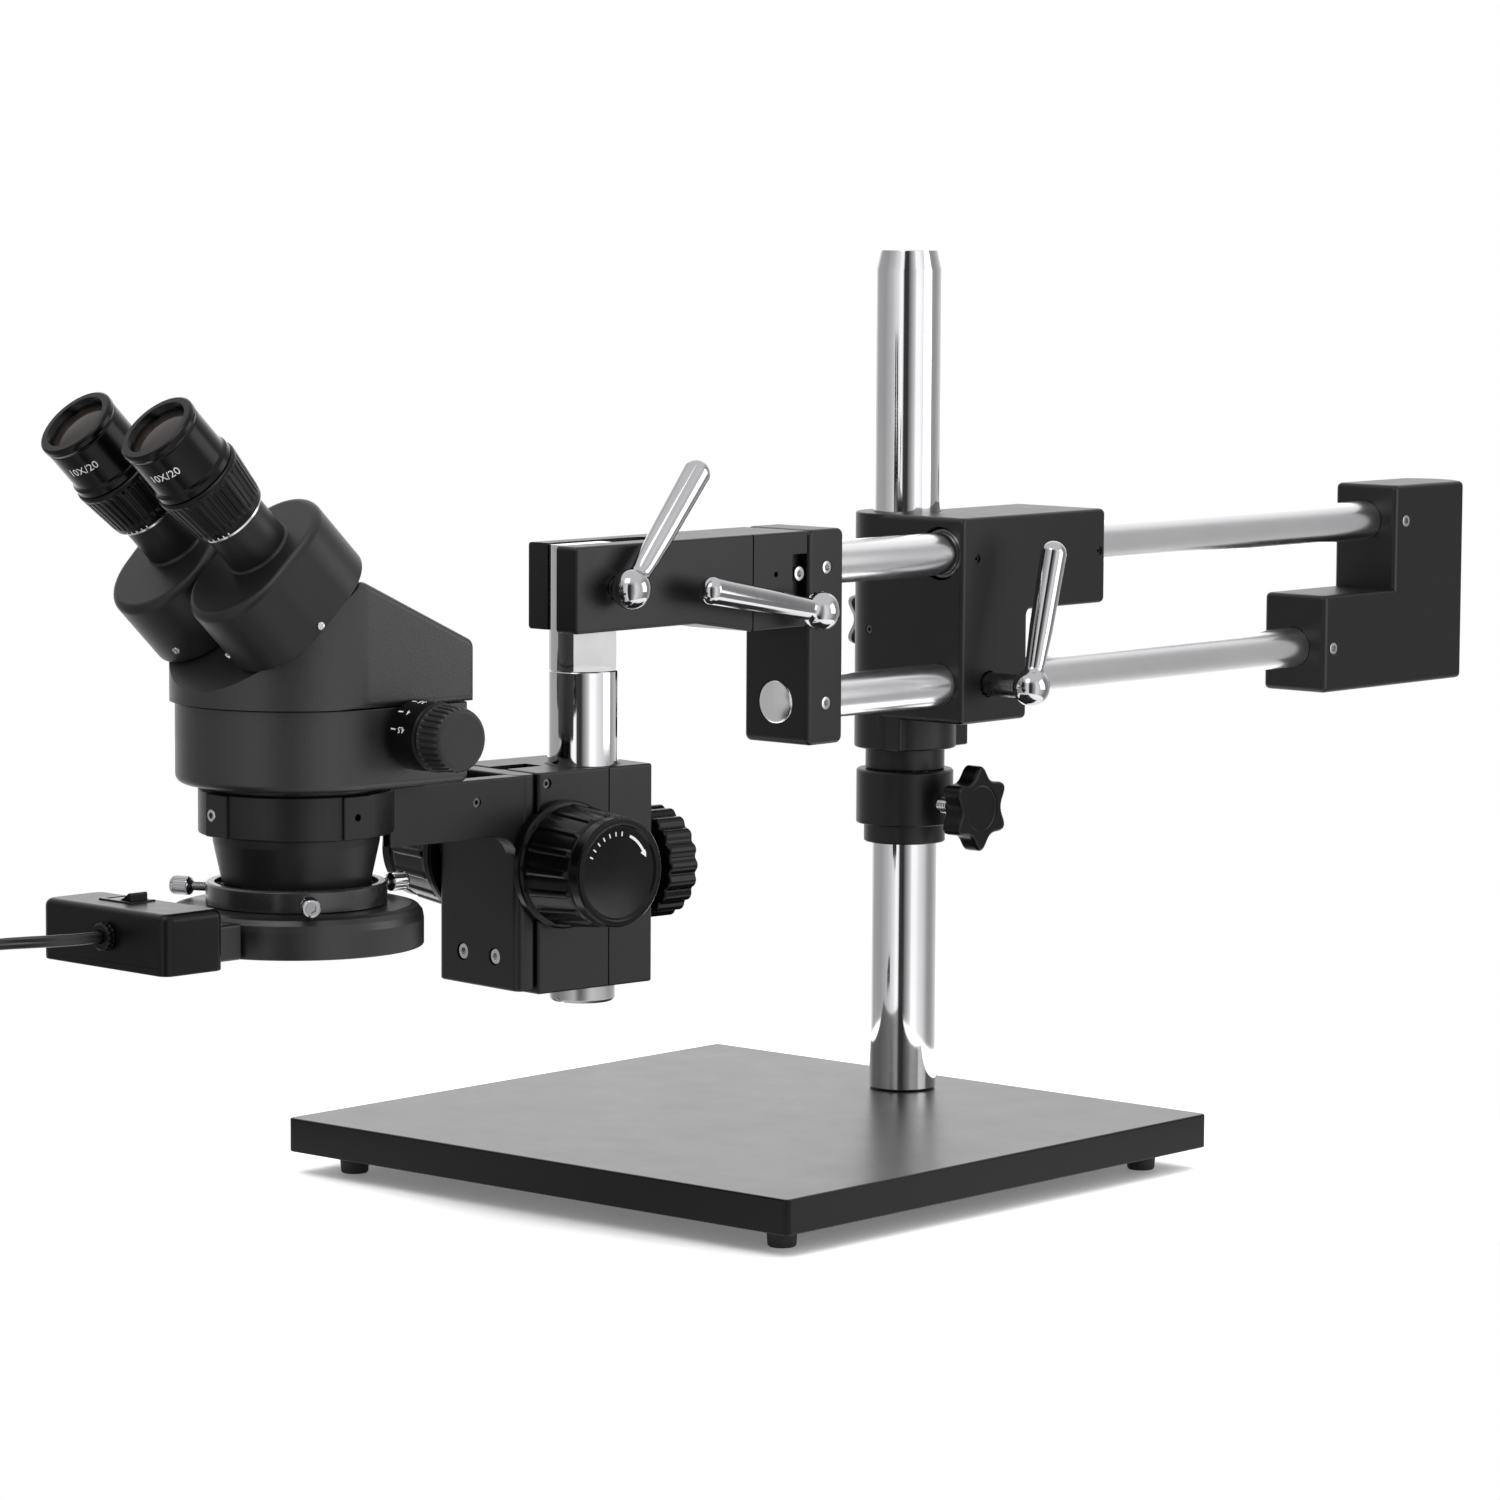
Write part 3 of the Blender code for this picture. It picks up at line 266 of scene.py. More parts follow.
def evaluated(obj):
    """The object's mesh with its modifiers applied, or a text's outline as a mesh."""
    bpy.context.view_layer.update()
    mesh = bpy.data.meshes.new_from_object(obj.evaluated_get(bpy.context.evaluated_depsgraph_get()))
    shape = bmesh.new()
    shape.from_mesh(mesh)
    bpy.data.meshes.remove(mesh)
    return shape


def combine(first, second, operation):
    """Boolean of two shapes."""
    objects = []
    for shape in (first, second):
        mesh = bpy.data.meshes.new("operand")
        shape.to_mesh(mesh)
        shape.free()
        objects.append(linked("operand", mesh))
    modifier = objects[0].modifiers.new("Boolean", "BOOLEAN")
    modifier.operation = operation
    modifier.object = objects[1]
    modifier.solver = "MANIFOLD"
    result = evaluated(objects[0])
    bmesh.ops.remove_doubles(result, verts=result.verts, dist=1e-5)
    for obj in objects:
        bpy.data.meshes.remove(obj.data)
    return result


def cut(shape, *tools):
    for tool in tools:
        shape = combine(shape, tool, "DIFFERENCE")
    return shape


def fuse(shape, *others):
    for other in others:
        shape = combine(shape, other, "UNION")
    return shape


def flutes(count, depth, low, high, width=0.5):
    """A ripple of grooves along the axis between two heights; width is the share that is land."""
    edge = math.cos(math.pi * width)

    def ripple(angle, height):
        if not low <= height <= high:
            return 0.0
        level = (math.cos(count * angle) - edge) / 0.5 + 0.5
        return depth * (ease(min(1.0, max(0.0, level))) - 1.0)
    return ripple


def thread(radius, low, high, pitch=1.0, depth=0.45, sides=40):
    """A screw thread, as grooves around a rod."""
    profile = [(0, high), (radius - depth, high)]
    turns = int((high - low) / pitch)
    for i in range(turns):
        top = high - i * pitch
        profile += [(radius, top - pitch * 0.35), (radius, top - pitch * 0.5), (radius - depth, top - pitch * 0.9)]
    profile += [(radius - depth, low), (0, low)]
    return lathe(profile, sides, 0)


def lettering(text, size, depth):
    """Numbers as a thin solid, lying in XY around the origin."""
    curve = bpy.data.curves.new("lettering", "FONT")
    curve.body = text
    curve.size = size
    curve.align_x = "CENTER"
    curve.align_y = "CENTER"
    curve.extrude = depth / 2
    curve.resolution_u = 3
    obj = linked("lettering", curve)
    shape = evaluated(obj)
    bmesh.ops.remove_doubles(shape, verts=shape.verts, dist=1e-4)
    bpy.data.objects.remove(obj)
    bpy.data.curves.remove(curve)
    return shape


def wrapped(shape, radius, angle, height, endways=False):
    """Bends a flat shape in XY around the Z axis. endways turns its X along the axis."""
    for vertex in shape.verts:
        x, y, z = vertex.co
        sweep, along = (y, -x) if endways else (x, y)
        turn = math.radians(angle) + sweep / radius
        vertex.co = (*polar(radius + z, turn), height + along)
    bmesh.ops.recalc_face_normals(shape, faces=shape.faces)
    return shape


# ---------------------------------------------------------------- materials

def node(tree, kind, **values):
    made = tree.nodes.new(kind)
    for name, value in values.items():
        if name in made.inputs:
            made.inputs[name].default_value = value
        else:
            setattr(made, name, value)
    return made


def ramp(tree, source, stops):
    """A colour ramp from (position, grey or colour) stops."""
    made = tree.nodes.new("ShaderNodeValToRGB")
    while len(made.color_ramp.elements) < len(stops):
        made.color_ramp.elements.new(0.5)
    for element, (position, value) in zip(made.color_ramp.elements, stops):
        element.position = position
        element.color = (*value, 1.0) if isinstance(value, tuple) else (value, value, value, 1.0)
    tree.links.new(source, made.inputs["Fac"])
    return made.outputs["Color"]


def noise(tree, coordinates, scale, detail=3.0, rough=0.5, stretch=None):
    if stretch:
        mapping = node(tree, "ShaderNodeMapping")
        mapping.inputs["Scale"].default_value = stretch
        tree.links.new(coordinates, mapping.inputs["Vector"])
        coordinates = mapping.outputs["Vector"]
    made = node(tree, "ShaderNodeTexNoise", Scale=scale, Detail=detail, Roughness=rough)
    tree.links.new(coordinates, made.inputs["Vector"])
    return made.outputs["Fac"]


def finish(name, dark, light, rough, metallic=0.0, patch=25.0, grain=None, stretch=None, **sockets):
    """A surface that varies: colour between two tones, roughness between two values, and bumps.

    grain is (scale, strength, depth in mm) for each layer of bumps. stretch draws the grain
    out along an axis. Scales are per metre.
    """
    material = bpy.data.materials.new(name)
    material.use_nodes = True
    tree = material.node_tree
    shader = tree.nodes["Principled BSDF"]
    shader.inputs["Metallic"].default_value = metallic
    for socket, value in sockets.items():
        shader.inputs[socket.replace("_", " ")].default_value = value
    where = tree.nodes.new("ShaderNodeTexCoord").outputs["Object"]
    broad = noise(tree, where, patch, 5.0, 0.6)
    colour = ramp(tree, broad, [(0.30, dark), (0.72, light)])
    tree.links.new(colour, shader.inputs["Base Color"])
    wear = noise(tree, where, patch * 4.0, 6.0, 0.65)
    tree.links.new(ramp(tree, wear, [(0.25, rough[0]), (0.75, rough[1])]), shader.inputs["Roughness"])
    normal = None
    for scale, strength, depth in grain or ():
        bump = node(tree, "ShaderNodeBump", Strength=strength, Distance=depth * MM)
        tree.links.new(noise(tree, where, scale, 3.0, 0.55, stretch), bump.inputs["Height"])
        if normal:
            tree.links.new(normal, bump.inputs["Normal"])
        normal = bump.outputs["Normal"]
    if normal:
        tree.links.new(normal, shader.inputs["Normal"])
    return material


FINISH = {
    "plate": finish("plate_enamel", (0.0026, 0.0026, 0.0028), (0.0036, 0.0036, 0.0038), (0.30, 0.34), patch=9.0,
                    grain=[(1500.0, 0.05, 0.05)], Specular_IOR_Level=0.42),
    "block": finish("black_powder_coat", (0.0018, 0.0018, 0.0020), (0.0026, 0.0026, 0.0028), (0.38, 0.43),
                    grain=[(1900.0, 0.10, 0.05)], Specular_IOR_Level=0.42),
    "wrinkle": finish("wrinkle_paint", (0.0070, 0.0070, 0.0074), (0.0090, 0.0090, 0.0095), (0.40, 0.46),
                      grain=[(1250.0, 0.55, 0.14), (2400.0, 0.30, 0.06)], Specular_IOR_Level=0.72),
    "satin": finish("satin_paint", (0.0050, 0.0050, 0.0053), (0.0066, 0.0066, 0.0070), (0.40, 0.45),
                    grain=[(1300.0, 0.10, 0.06)], Specular_IOR_Level=0.40),
    "knob": finish("moulded_black", (0.0010, 0.0010, 0.0011), (0.0018, 0.0018, 0.0019), (0.20, 0.26), patch=60.0,
                   grain=[(900.0, 0.04, 0.04)], Specular_IOR_Level=0.20),
    "cap": finish("matte_cap", (0.012, 0.012, 0.013), (0.016, 0.016, 0.017), (0.44, 0.50), patch=60.0,
                  grain=[(2400.0, 0.08, 0.05)], Specular_IOR_Level=0.40),
    "gloss": finish("black_abs", (0.0016, 0.0016, 0.0017), (0.0024, 0.0024, 0.0026), (0.30, 0.36), patch=50.0,
                    grain=[(1600.0, 0.08, 0.05)], Specular_IOR_Level=0.22),
    "anodised": finish("anodised_black", (0.010, 0.010, 0.0105), (0.015, 0.015, 0.0155), (0.24, 0.30), patch=40.0,
                       grain=[(2400.0, 0.05, 0.03)], Specular_IOR_Level=0.8),
    "shell": finish("ring_shell", (0.0050, 0.0050, 0.0053), (0.0066, 0.0066, 0.0070), (0.34, 0.40), patch=50.0,
                    grain=[(1600.0, 0.07, 0.05)], Specular_IOR_Level=0.6),
    "rubber": finish("foot_rubber", (0.008, 0.008, 0.008), (0.016, 0.016, 0.015), (0.62, 0.80), patch=90.0,
                     grain=[(900.0, 0.25, 0.10)]),
    "chrome": finish("polished_chrome", (0.70, 0.70, 0.72), (0.80, 0.80, 0.81), (0.035, 0.085), metallic=1.0,
                     patch=12.0, grain=[(300.0, 0.012, 0.05)]),
    "ground": finish("ground_chrome", (0.88, 0.88, 0.90), (0.95, 0.95, 0.96), (0.21, 0.25), metallic=1.0,
                     patch=8.0, grain=[(700.0, 0.02, 0.03)], stretch=(0.12, 4.0, 0.12)),
    "nickel": finish("nickel_plate", (0.44, 0.44, 0.455), (0.50, 0.50, 0.51), (0.07, 0.11), metallic=1.0,
                     patch=30.0, grain=[(400.0, 0.012, 0.04)]),
    "milled": finish("milled_steel", (0.40, 0.40, 0.405), (0.47, 0.47, 0.475), (0.28, 0.36), metallic=1.0,
                     patch=40.0, grain=[(420.0, 0.16, 0.06)], stretch=(1.0, 0.2, 5.0)),
    "steel": finish("bright_steel", (0.60, 0.60, 0.61), (0.76, 0.76, 0.76), (0.16, 0.26), metallic=1.0,
                    patch=150.0, grain=[(1800.0, 0.06, 0.03)]),
    "dark_steel": finish("oiled_steel", (0.10, 0.10, 0.105), (0.18, 0.18, 0.185), (0.24, 0.36), metallic=1.0,
                         patch=150.0, grain=[(1500.0, 0.10, 0.04)]),
    "brass": finish("rack_brass", (0.50, 0.34, 0.14), (0.66, 0.48, 0.22), (0.22, 0.34), metallic=1.0,
                    patch=120.0, grain=[(1500.0, 0.08, 0.03)]),
    "ink": finish("white_ink", (0.72, 0.72, 0.72), (0.82, 0.82, 0.82), (0.45, 0.55), patch=200.0,
                  grain=[(2600.0, 0.05, 0.02)]),
    "inside": finish("optical_black", (0.004, 0.004, 0.004), (0.007, 0.007, 0.007), (0.60, 0.75), patch=90.0,
                     grain=[(1800.0, 0.2, 0.05)]),
    "coating": finish("field_lens", (0.011, 0.008, 0.007), (0.018, 0.013, 0.011), (0.10, 0.16), patch=30.0,
                      grain=[(200.0, 0.02, 0.05)], Coat_Weight=0.30, Coat_Roughness=0.02, Specular_IOR_Level=0.15),
    "glass": finish("objective_glass", (0.10, 0.07, 0.10), (0.14, 0.10, 0.13), (0.02, 0.05), patch=30.0,
                    Coat_Weight=1.0, Coat_Roughness=0.02),
    "board": finish("led_board", (0.62, 0.62, 0.60), (0.72, 0.72, 0.70), (0.35, 0.45), patch=150.0,
                    grain=[(1500.0, 0.06, 0.03)]),
    "diode": finish("led_dome", (0.80, 0.76, 0.55), (0.90, 0.88, 0.70), (0.06, 0.12), patch=400.0,
                    Coat_Weight=1.0, Coat_Roughness=0.05, Subsurface_Weight=0.15, Subsurface_Scale=0.001),
    "cord": finish("black_pvc", (0.006, 0.006, 0.006), (0.010, 0.010, 0.010), (0.28, 0.38), patch=80.0,
                   grain=[(1200.0, 0.06, 0.04)]),
}


def painted_shade_on_sides(material, sides, top):
    """Painted shade: less shine on upright faces than on level ones, chosen by the way each face points."""
    tree = material.node_tree
    split = node(tree, "ShaderNodeSeparateXYZ")
    tree.links.new(tree.nodes.new("ShaderNodeNewGeometry").outputs["Normal"], split.inputs[0])
    level = ramp(tree, split.outputs["Z"], [(0.35, sides), (0.85, top)])
    tree.links.new(level, tree.nodes["Principled BSDF"].inputs["Specular IOR Level"])


# painted shade: the base plate's upright sides get less shine than its top, by their facing
painted_shade_on_sides(FINISH["plate"], 0.13, 0.42)


# ---------------------------------------------------------------- pieces


def emit(name, shape, where, look, body, *stands_for, slot=None, sharp=32.0):
    """Puts a shape into the scene as a piece on a CAD body, with its look's material. The slot argument is not used."""
    shape.transform(Matrix.Scale(MM, 4) @ where)
    mesh = bpy.data.meshes.new(name)
    shape.to_mesh(mesh)
    shape.free()
    mesh.shade_smooth()
    mesh.set_sharp_from_angle(angle=math.radians(sharp))
    mesh.materials.append(FINISH[look])
    obj = linked(name, mesh)
    weighted = obj.modifiers.new("Weighted normals", "WEIGHTED_NORMAL")
    weighted.keep_sharp = True
    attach(obj, body)
    if stands_for:
        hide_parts(*stands_for)
    return obj


# The mains lead comes first, because its route is also the CAD's

def ease(t):
    return t * t * (3 - 2 * t)


def smooth_route(points, steps):
    """Catmull-Rom curve through the points."""
    rows = [Vector(point) for point in points]
    rows = [rows[0] * 2 - rows[1]] + rows + [rows[-1] * 2 - rows[-2]]
    result = []
    for i in range(1, len(rows) - 2):
        before, start, end, after = rows[i - 1:i + 3]
        for j in range(steps):
            t = j / steps
            result.append(0.5 * (2 * start + (end - before) * t + (2 * before - 5 * start + 4 * end - after) * t ** 2
                                 + (3 * start - before - 3 * end + after) * t ** 3))
    result.append(rows[-2])
    return result


def coil_route():
    """Seven and a quarter turns in layers, then an S-bend into the plug."""
    slots = [(COIL_R, 1.7), (26.5, 1.7), (21.5, 1.7), (21.5, 4.8), (26.5, 4.8), (COIL_R, 4.8), (COIL_R, COIL_TOP)]
    steps, change = 56, 10
    points = []
    for turn, (radius, height) in enumerate(slots):
        after = slots[min(turn + 1, len(slots) - 1)]
        for k in range(steps):
            t = ease(max(0.0, (k - steps + change) / change))
            r, z = radius + (after[0] - radius) * t, height + (after[1] - height) * t
            angle = math.radians(-90.0 - 360.0 * k / steps)
            points.append(Vector((*polar(r, angle, *COIL), z)))
    for k in range(steps // 4 + 1):
        points.append(Vector((*polar(COIL_R, math.radians(-90.0 - 360.0 * k / steps), *COIL), COIL_TOP)))
    bend, sweep = 20.0, 50.2
    start = (COIL[0] - COIL_R - bend, COIL[1])
    end = (PLUG[0] + bend, PLUG[1] - 3.3)
    s_bend = arc(start, bend, 0, sweep, 8)[1:] + arc(end, bend, 180 + sweep, 180, 8)[1:]
    for k, (x, y) in enumerate(s_bend, 1):
        points.append(Vector((x, y, COIL_TOP - (COIL_TOP - PLUG_Z) * ease(k / len(s_bend)))))
    points.append(Vector((PLUG[0], PLUG[1] + 1.0, PLUG_Z)))
    return points


def flat_lead(route):
    """A twin lead, 5 mm wide and 3 mm thick, with a groove along the middle of each face."""
    half = [(2.5, 0.0), (2.36, 0.62), (1.95, 1.16), (1.4, 1.45), (0.9, 1.47), (0.4, 1.3), (0.0, 1.1)]
    quarter = half[1:-1]
    section = half + [(-w, h) for w, h in reversed(quarter)] + [(-2.5, 0.0)]
    section += [(-w, -h) for w, h in quarter] + [(0.0, -1.1)] + [(w, -h) for w, h in reversed(quarter)]
    shape = bmesh.new()
    rings = []
    count = len(route)
    twist_end, plug_start = 44, count - 18
    for i, spot in enumerate(route):
        along = (route[min(i + 1, count - 1)] - route[max(i - 1, 0)]).normalized()
        t = ease(min(1.0, i / twist_end))
        if i < CORD_FREE:
            wish = Vector((0, 0, 1)) * (1 - t) + Vector((0.25, 1.0, 0)) * t
        else:
            wish = Vector((spot.x - COIL[0], spot.y - COIL[1], 0))
        if i >= plug_start:
            wish = Vector((along.y, -along.x, 0))
        if i and wish.dot(rings[-1][1]) < 0:
            wish = -wish
        wide = (wish - along * wish.dot(along)).normalized()
        high = along.cross(wide)
        rings.append(([shape.verts.new(spot + wide * w + high * h) for w, h in section], wide))
    sides = len(section)
    for (upper, _), (lower, _) in zip(rings, rings[1:]):
        for k in range(sides):
            shape.faces.new((upper[k], upper[(k + 1) % sides], lower[(k + 1) % sides], lower[k]))
    shape.faces.new(rings[0][0])
    shape.faces.new(rings[-1][0])
    bmesh.ops.recalc_face_normals(shape, faces=shape.faces)
    return shape


FREE_ROUTE = smooth_route(CORD_ROUTE, 4)
CORD_FREE = len(FREE_ROUTE)
ROUTE = FREE_ROUTE + coil_route()
lead = emit("mains_lead", flat_lead(ROUTE), LIGHT, "cord", "microscope", "light_lead", "lead_coil", sharp=50)


def make_plug():
    """A generic flat two-blade plug with a ribbed tail."""
    outline = soften([(-3.0, -3.6), (4.0, -8.2), (9.0, -11.2), (24.0, -11.2), (26.0, -9.6), (26.0, 9.6), (24.0, 11.2),
                      (9.0, 11.2), (4.0, 8.2), (-3.0, 3.6)], 2.0, True)
    body = prism(outline, 0.4, 11.2, 1.6)
    ribs = [(0, -1.0), (3.6, -1.0)]
    for k in range(4):
        x, wide, narrow = -1.0 - 2.2 * k, 0.25 * k, 2.9 - 0.2 * k
        ribs += [(3.6 - wide, x - 1.3), (narrow, x - 1.4), (narrow, x - 2.1), (3.5 - wide, x - 2.2)]
    ribs += [(0, -10.0)]
    tail = moved(lathe(ribs, 40, 0.1), (0, 0, PLUG_Z), TO_X)
    where = LIGHT @ place((*PLUG, 0), (0, 0, 90))
    plug = emit("plug_body", group(body, tail), where, "gloss", "microscope", "mains_plug")
    blades = []
    for y in (-6.35, 6.35):
        blade = prism(soften([(25.0, 2.6), (41.5, 2.6), (43.0, 4.0), (43.0, 7.6), (41.5, 9.0), (25.0, 9.0)], 0.6, True),
                      y - 0.75, y + 0.75, 0.2)
        blade.transform(Matrix(((1, 0, 0, 0), (0, 0, 1, 0), (0, 1, 0, 0), (0, 0, 0, 1))))
        bmesh.ops.reverse_faces(blade, faces=blade.faces)
        hole = moved(rod(1.6, -3, 3, 24), (37.5, y, PLUG_Z), (90, 0, 0))
        blades.append(cut(blade, hole))
    pins = emit("plug_blades", group(*blades), where, "steel", "microscope", slot="gloss")
    return [plug, pins]


make_plug()


# ---------------------------------------------------------------- stand

def hexagon(width, low, high):
    """A hexagonal bar, by its width across the flats."""
    return prism(arc((0, 0), width / math.sqrt(3), 0, 300, 5), low, high)


def socket_screw(radius, height, width, depth):
    """A cap screw's head with a hexagon socket, its top at z = 0."""
    return cut(rod(radius, -height, 0, 48, 0.35), hexagon(width, -depth, 1))


def grub_screw(radius, low, high, hexagon_across, depth):
    return cut(rod(radius, low, high, 32), hexagon(hexagon_across, -depth, 0))


def slotted(head, radius, half, low, high):
    """Cuts a cross slot into a screw's head."""
    return cut(head, box((-radius, -half, low), (radius, half, high)), box((-half, -radius, low), (half, radius, high)))


def make_base():
    plate = prism(rounded((-154, -151), (154, 151), 2.8), 10, 26, 0.9)
    plate = cut(plate, *[moved(hole, (0, 112, 0)) for hole in (rod(9, 8, 17, 64), rod(5.3, 9, 28, 48))])
    emit("base_plate_body", plate, WORLD, "plate", "stand", "base_plate")
    number = 1
    for x in (-132, 132):
        for y in (-129, 129):
            foot = [(0, 9.7), (7.5, 9.7), (7.5, 8.6), (6.9, 8.0), (6.4, 0.8), (5.8, 0), (3.4, 0), (3.1, 3.6), (0, 3.6)]
            emit(f"foot_{number}", lathe(foot, 48, 0.4), WORLD @ place((x, y, 0)), "rubber", "stand",
                 f"base_foot_{number}")
            screw = slotted(rod(2.7, 2.0, 3.5, 32, 0.4), 3, 0.4, 1.5, 2.6)
            emit(f"foot_screw_{number}", screw, WORLD @ place((x, y, 0)), "steel", "stand")
            number += 1
    pillar = [(0, 428.6), (9.5, 428.6), (10.0, 429), (13.9, 429), (16, 420), (16, 27.0), (15.4, 26.3), (5.3, 26.3),
              (5.3, 52), (0, 52)]
    emit("pillar_rod", lathe(pillar, 160, 0.5), STAND, "chrome", "stand", "pillar")
    screw = lathe([(0, 50), (5, 50), (5, 16.6), (8.5, 16.6), (8.5, 10.6), (0, 10.6)], 64, 0.4)
    screw = cut(screw, hexagon(8, 8, 14.5))
    emit("pillar_bolt", screw, STAND, "steel", "stand", "pillar_screw")


def star(name, where, tip, body, node_name):
    """A six-lobed clamp knob with its threaded stud."""
    angles = [2 * math.pi * i / 96 for i in range(96)]
    outline = [polar(17.4 + 2.6 * math.cos(6 * a) + 0.35 * math.cos(12 * a), a) for a in angles]
    dish = lathe([(0, 49), (11.5, 49), (11.2, 47.6), (10.4, 47.2), (0, 47.2)], 64, 0.3)
    head = cut(prism(outline, 37.6, 48.0, 1.9), dish)
    neck = lathe([(0, 39), (10.5, 39), (9.2, 37.0), (8.0, 34.5), (7.5, 31.5), (7.1, 31.0), (0, 31.0)], 64, 0.5)
    emit(name, group(head, neck), where, "gloss", body, node_name, slot="knob", sharp=40)
    emit(name + "_stud", thread(3.9, tip, 32.0), where, "steel", body, sharp=60)


def make_collar():
    ring = lathe([(16.3, 181), (22.5, 181), (23.3, 180.2), (23.3, 155.4), (22.9, 155), (19.9, 155), (19.5, 154.6),
                  (19.5, 146.5), (19.0, 146), (16.3, 146)], 128, 0.4, True)
    ring = cut(ring, across(4.3, 10, 30, 40, 0, 165))
    emit("collar_ring", ring, STAND, "block", "collar", "collar")
    star("collar_star", STAND @ place((0, 0, 165), TO_X), 16.3, "collar_knob", "collar_knob")


def make_boom():
    outline = soften([(-24.5, 207), (-24.5, 304.5), (85, 304.5), (85, 259), (25, 259, 3.0), (25, 207)], 2.8, True)
    body = side_prism(outline, 0.5, 54.5, 2.2)
    tower = rod(24.45, 191.5, 304.4, 128, 1.0)
    foot = box((0.8, -23.3, 191.4), (16, 28.3, 215), 1.0)
    neck = rod(19, 181.3, 200, 96, 0.5)
    boom = fuse(body, tower, foot, neck)
    boom = cut(boom, rod(16.3, 170, 320, 128))
    for height in (UPPER_Z, LOWER_Z):
        boom = cut(boom, on_arm(rod(10.3, -40, 100, 96), height))
    mouth = lathe([(0, -20.4), (12.1, -20.4), (12.5, -20.8), (12.5, -24.2), (13.1, -25.0), (0, -25.0)], 96, 0)
    boom = cut(boom, on_arm(mouth, UPPER_Z),
               across(6.4, 48, 56, 64, -4.2, LOWER_Z),
               moved(rod(4.3, 10, 30, 40), (0, 0, 249), (0, 90, 143)),
               across(2.1, 50, 56, 32, -13.4, 285),
               across(2.1, 50, 56, 32, 80.2, 284.2),
               moved(rod(2.1, 18, 26, 32), (-3.1, 0, 249), (90, 0, 0)))
    emit("boom_casting", boom, STAND, "block", "boom", "boom_block")
    liners = []
    for start, end in ((-24.2, -19.0), (80.0, 84.7)):
        for height in (UPPER_Z, LOWER_Z):
            sleeve = [(10.15, end), (10.9, end), (10.9, start), (10.15, start)]
            if start < 0 and height == UPPER_Z:
                sleeve = [(10.15, -20.6), (12.0, -20.6), (12.0, -22.2), (11.4, -22.8), (10.15, -22.8)]
            if start > 0 and height == LOWER_Z:
                sleeve = [(10.15, 24.7), (10.9, 24.7), (10.9, 20.0), (10.15, 20.0)]
            liners.append(on_arm(lathe(sleeve, 96, 0.2, True), height))
    emit("bearing_sleeves", group(*liners), STAND, "dark_steel", "boom")
    pins = [moved(grub_screw(1.95, -3.2, -1.0, 1.9, 2.4), spot, turn) for spot, turn in (
        ((54.5, -13.4, 285), TO_X), ((54.5, 80.2, 284.2), TO_X), ((-3.1, -24.5, 249), (90, 0, 0)))]
    emit("boom_grub_screws", group(*pins), STAND, "dark_steel", "boom")
    star("boom_star", STAND @ place((0, 0, 249), (0, 90, 143)), 16.3, "boom_knob", "boom_knob")


def lever(name, at, handle, height, hub, low, body, node_name, shaft="nickel"):
    """A ball clamp lever. Its bolt lies along +X and the handle lies in the YZ plane."""
    length = math.hypot(*handle)
    tilt = math.degrees(math.atan2(handle[1], handle[0]))
    where = WORLD @ place(at, (tilt, 0, 0)) @ SIDEWAYS
    profile = [(abs(x), z) for x, z in arc((0, length), 6.35, 90, 8, 10)]
    profile += [(5.6, length * 0.45), (4.75, 12.5), (4.5, 9.6), (4.75, 8.3)]
    profile += [(8.9 * math.sin(math.radians(a)), 8.9 * math.cos(math.radians(a))) for a in range(36, 181, 8)]
    profile.append((0, -8.9))
    arm = moved(lathe(profile, 72, 0), (0, 0, height), TO_X)
    emit(name, arm, where, "nickel", body, node_name, sharp=40)
    bolt = [(0, height - 4), (hub, height - 4), (hub, low + 0.6), (hub - 0.6, low), (0, low)]
    emit(name + "_bolt", lathe(bolt, 64, 0.2), where, shaft, body, slot="chrome")


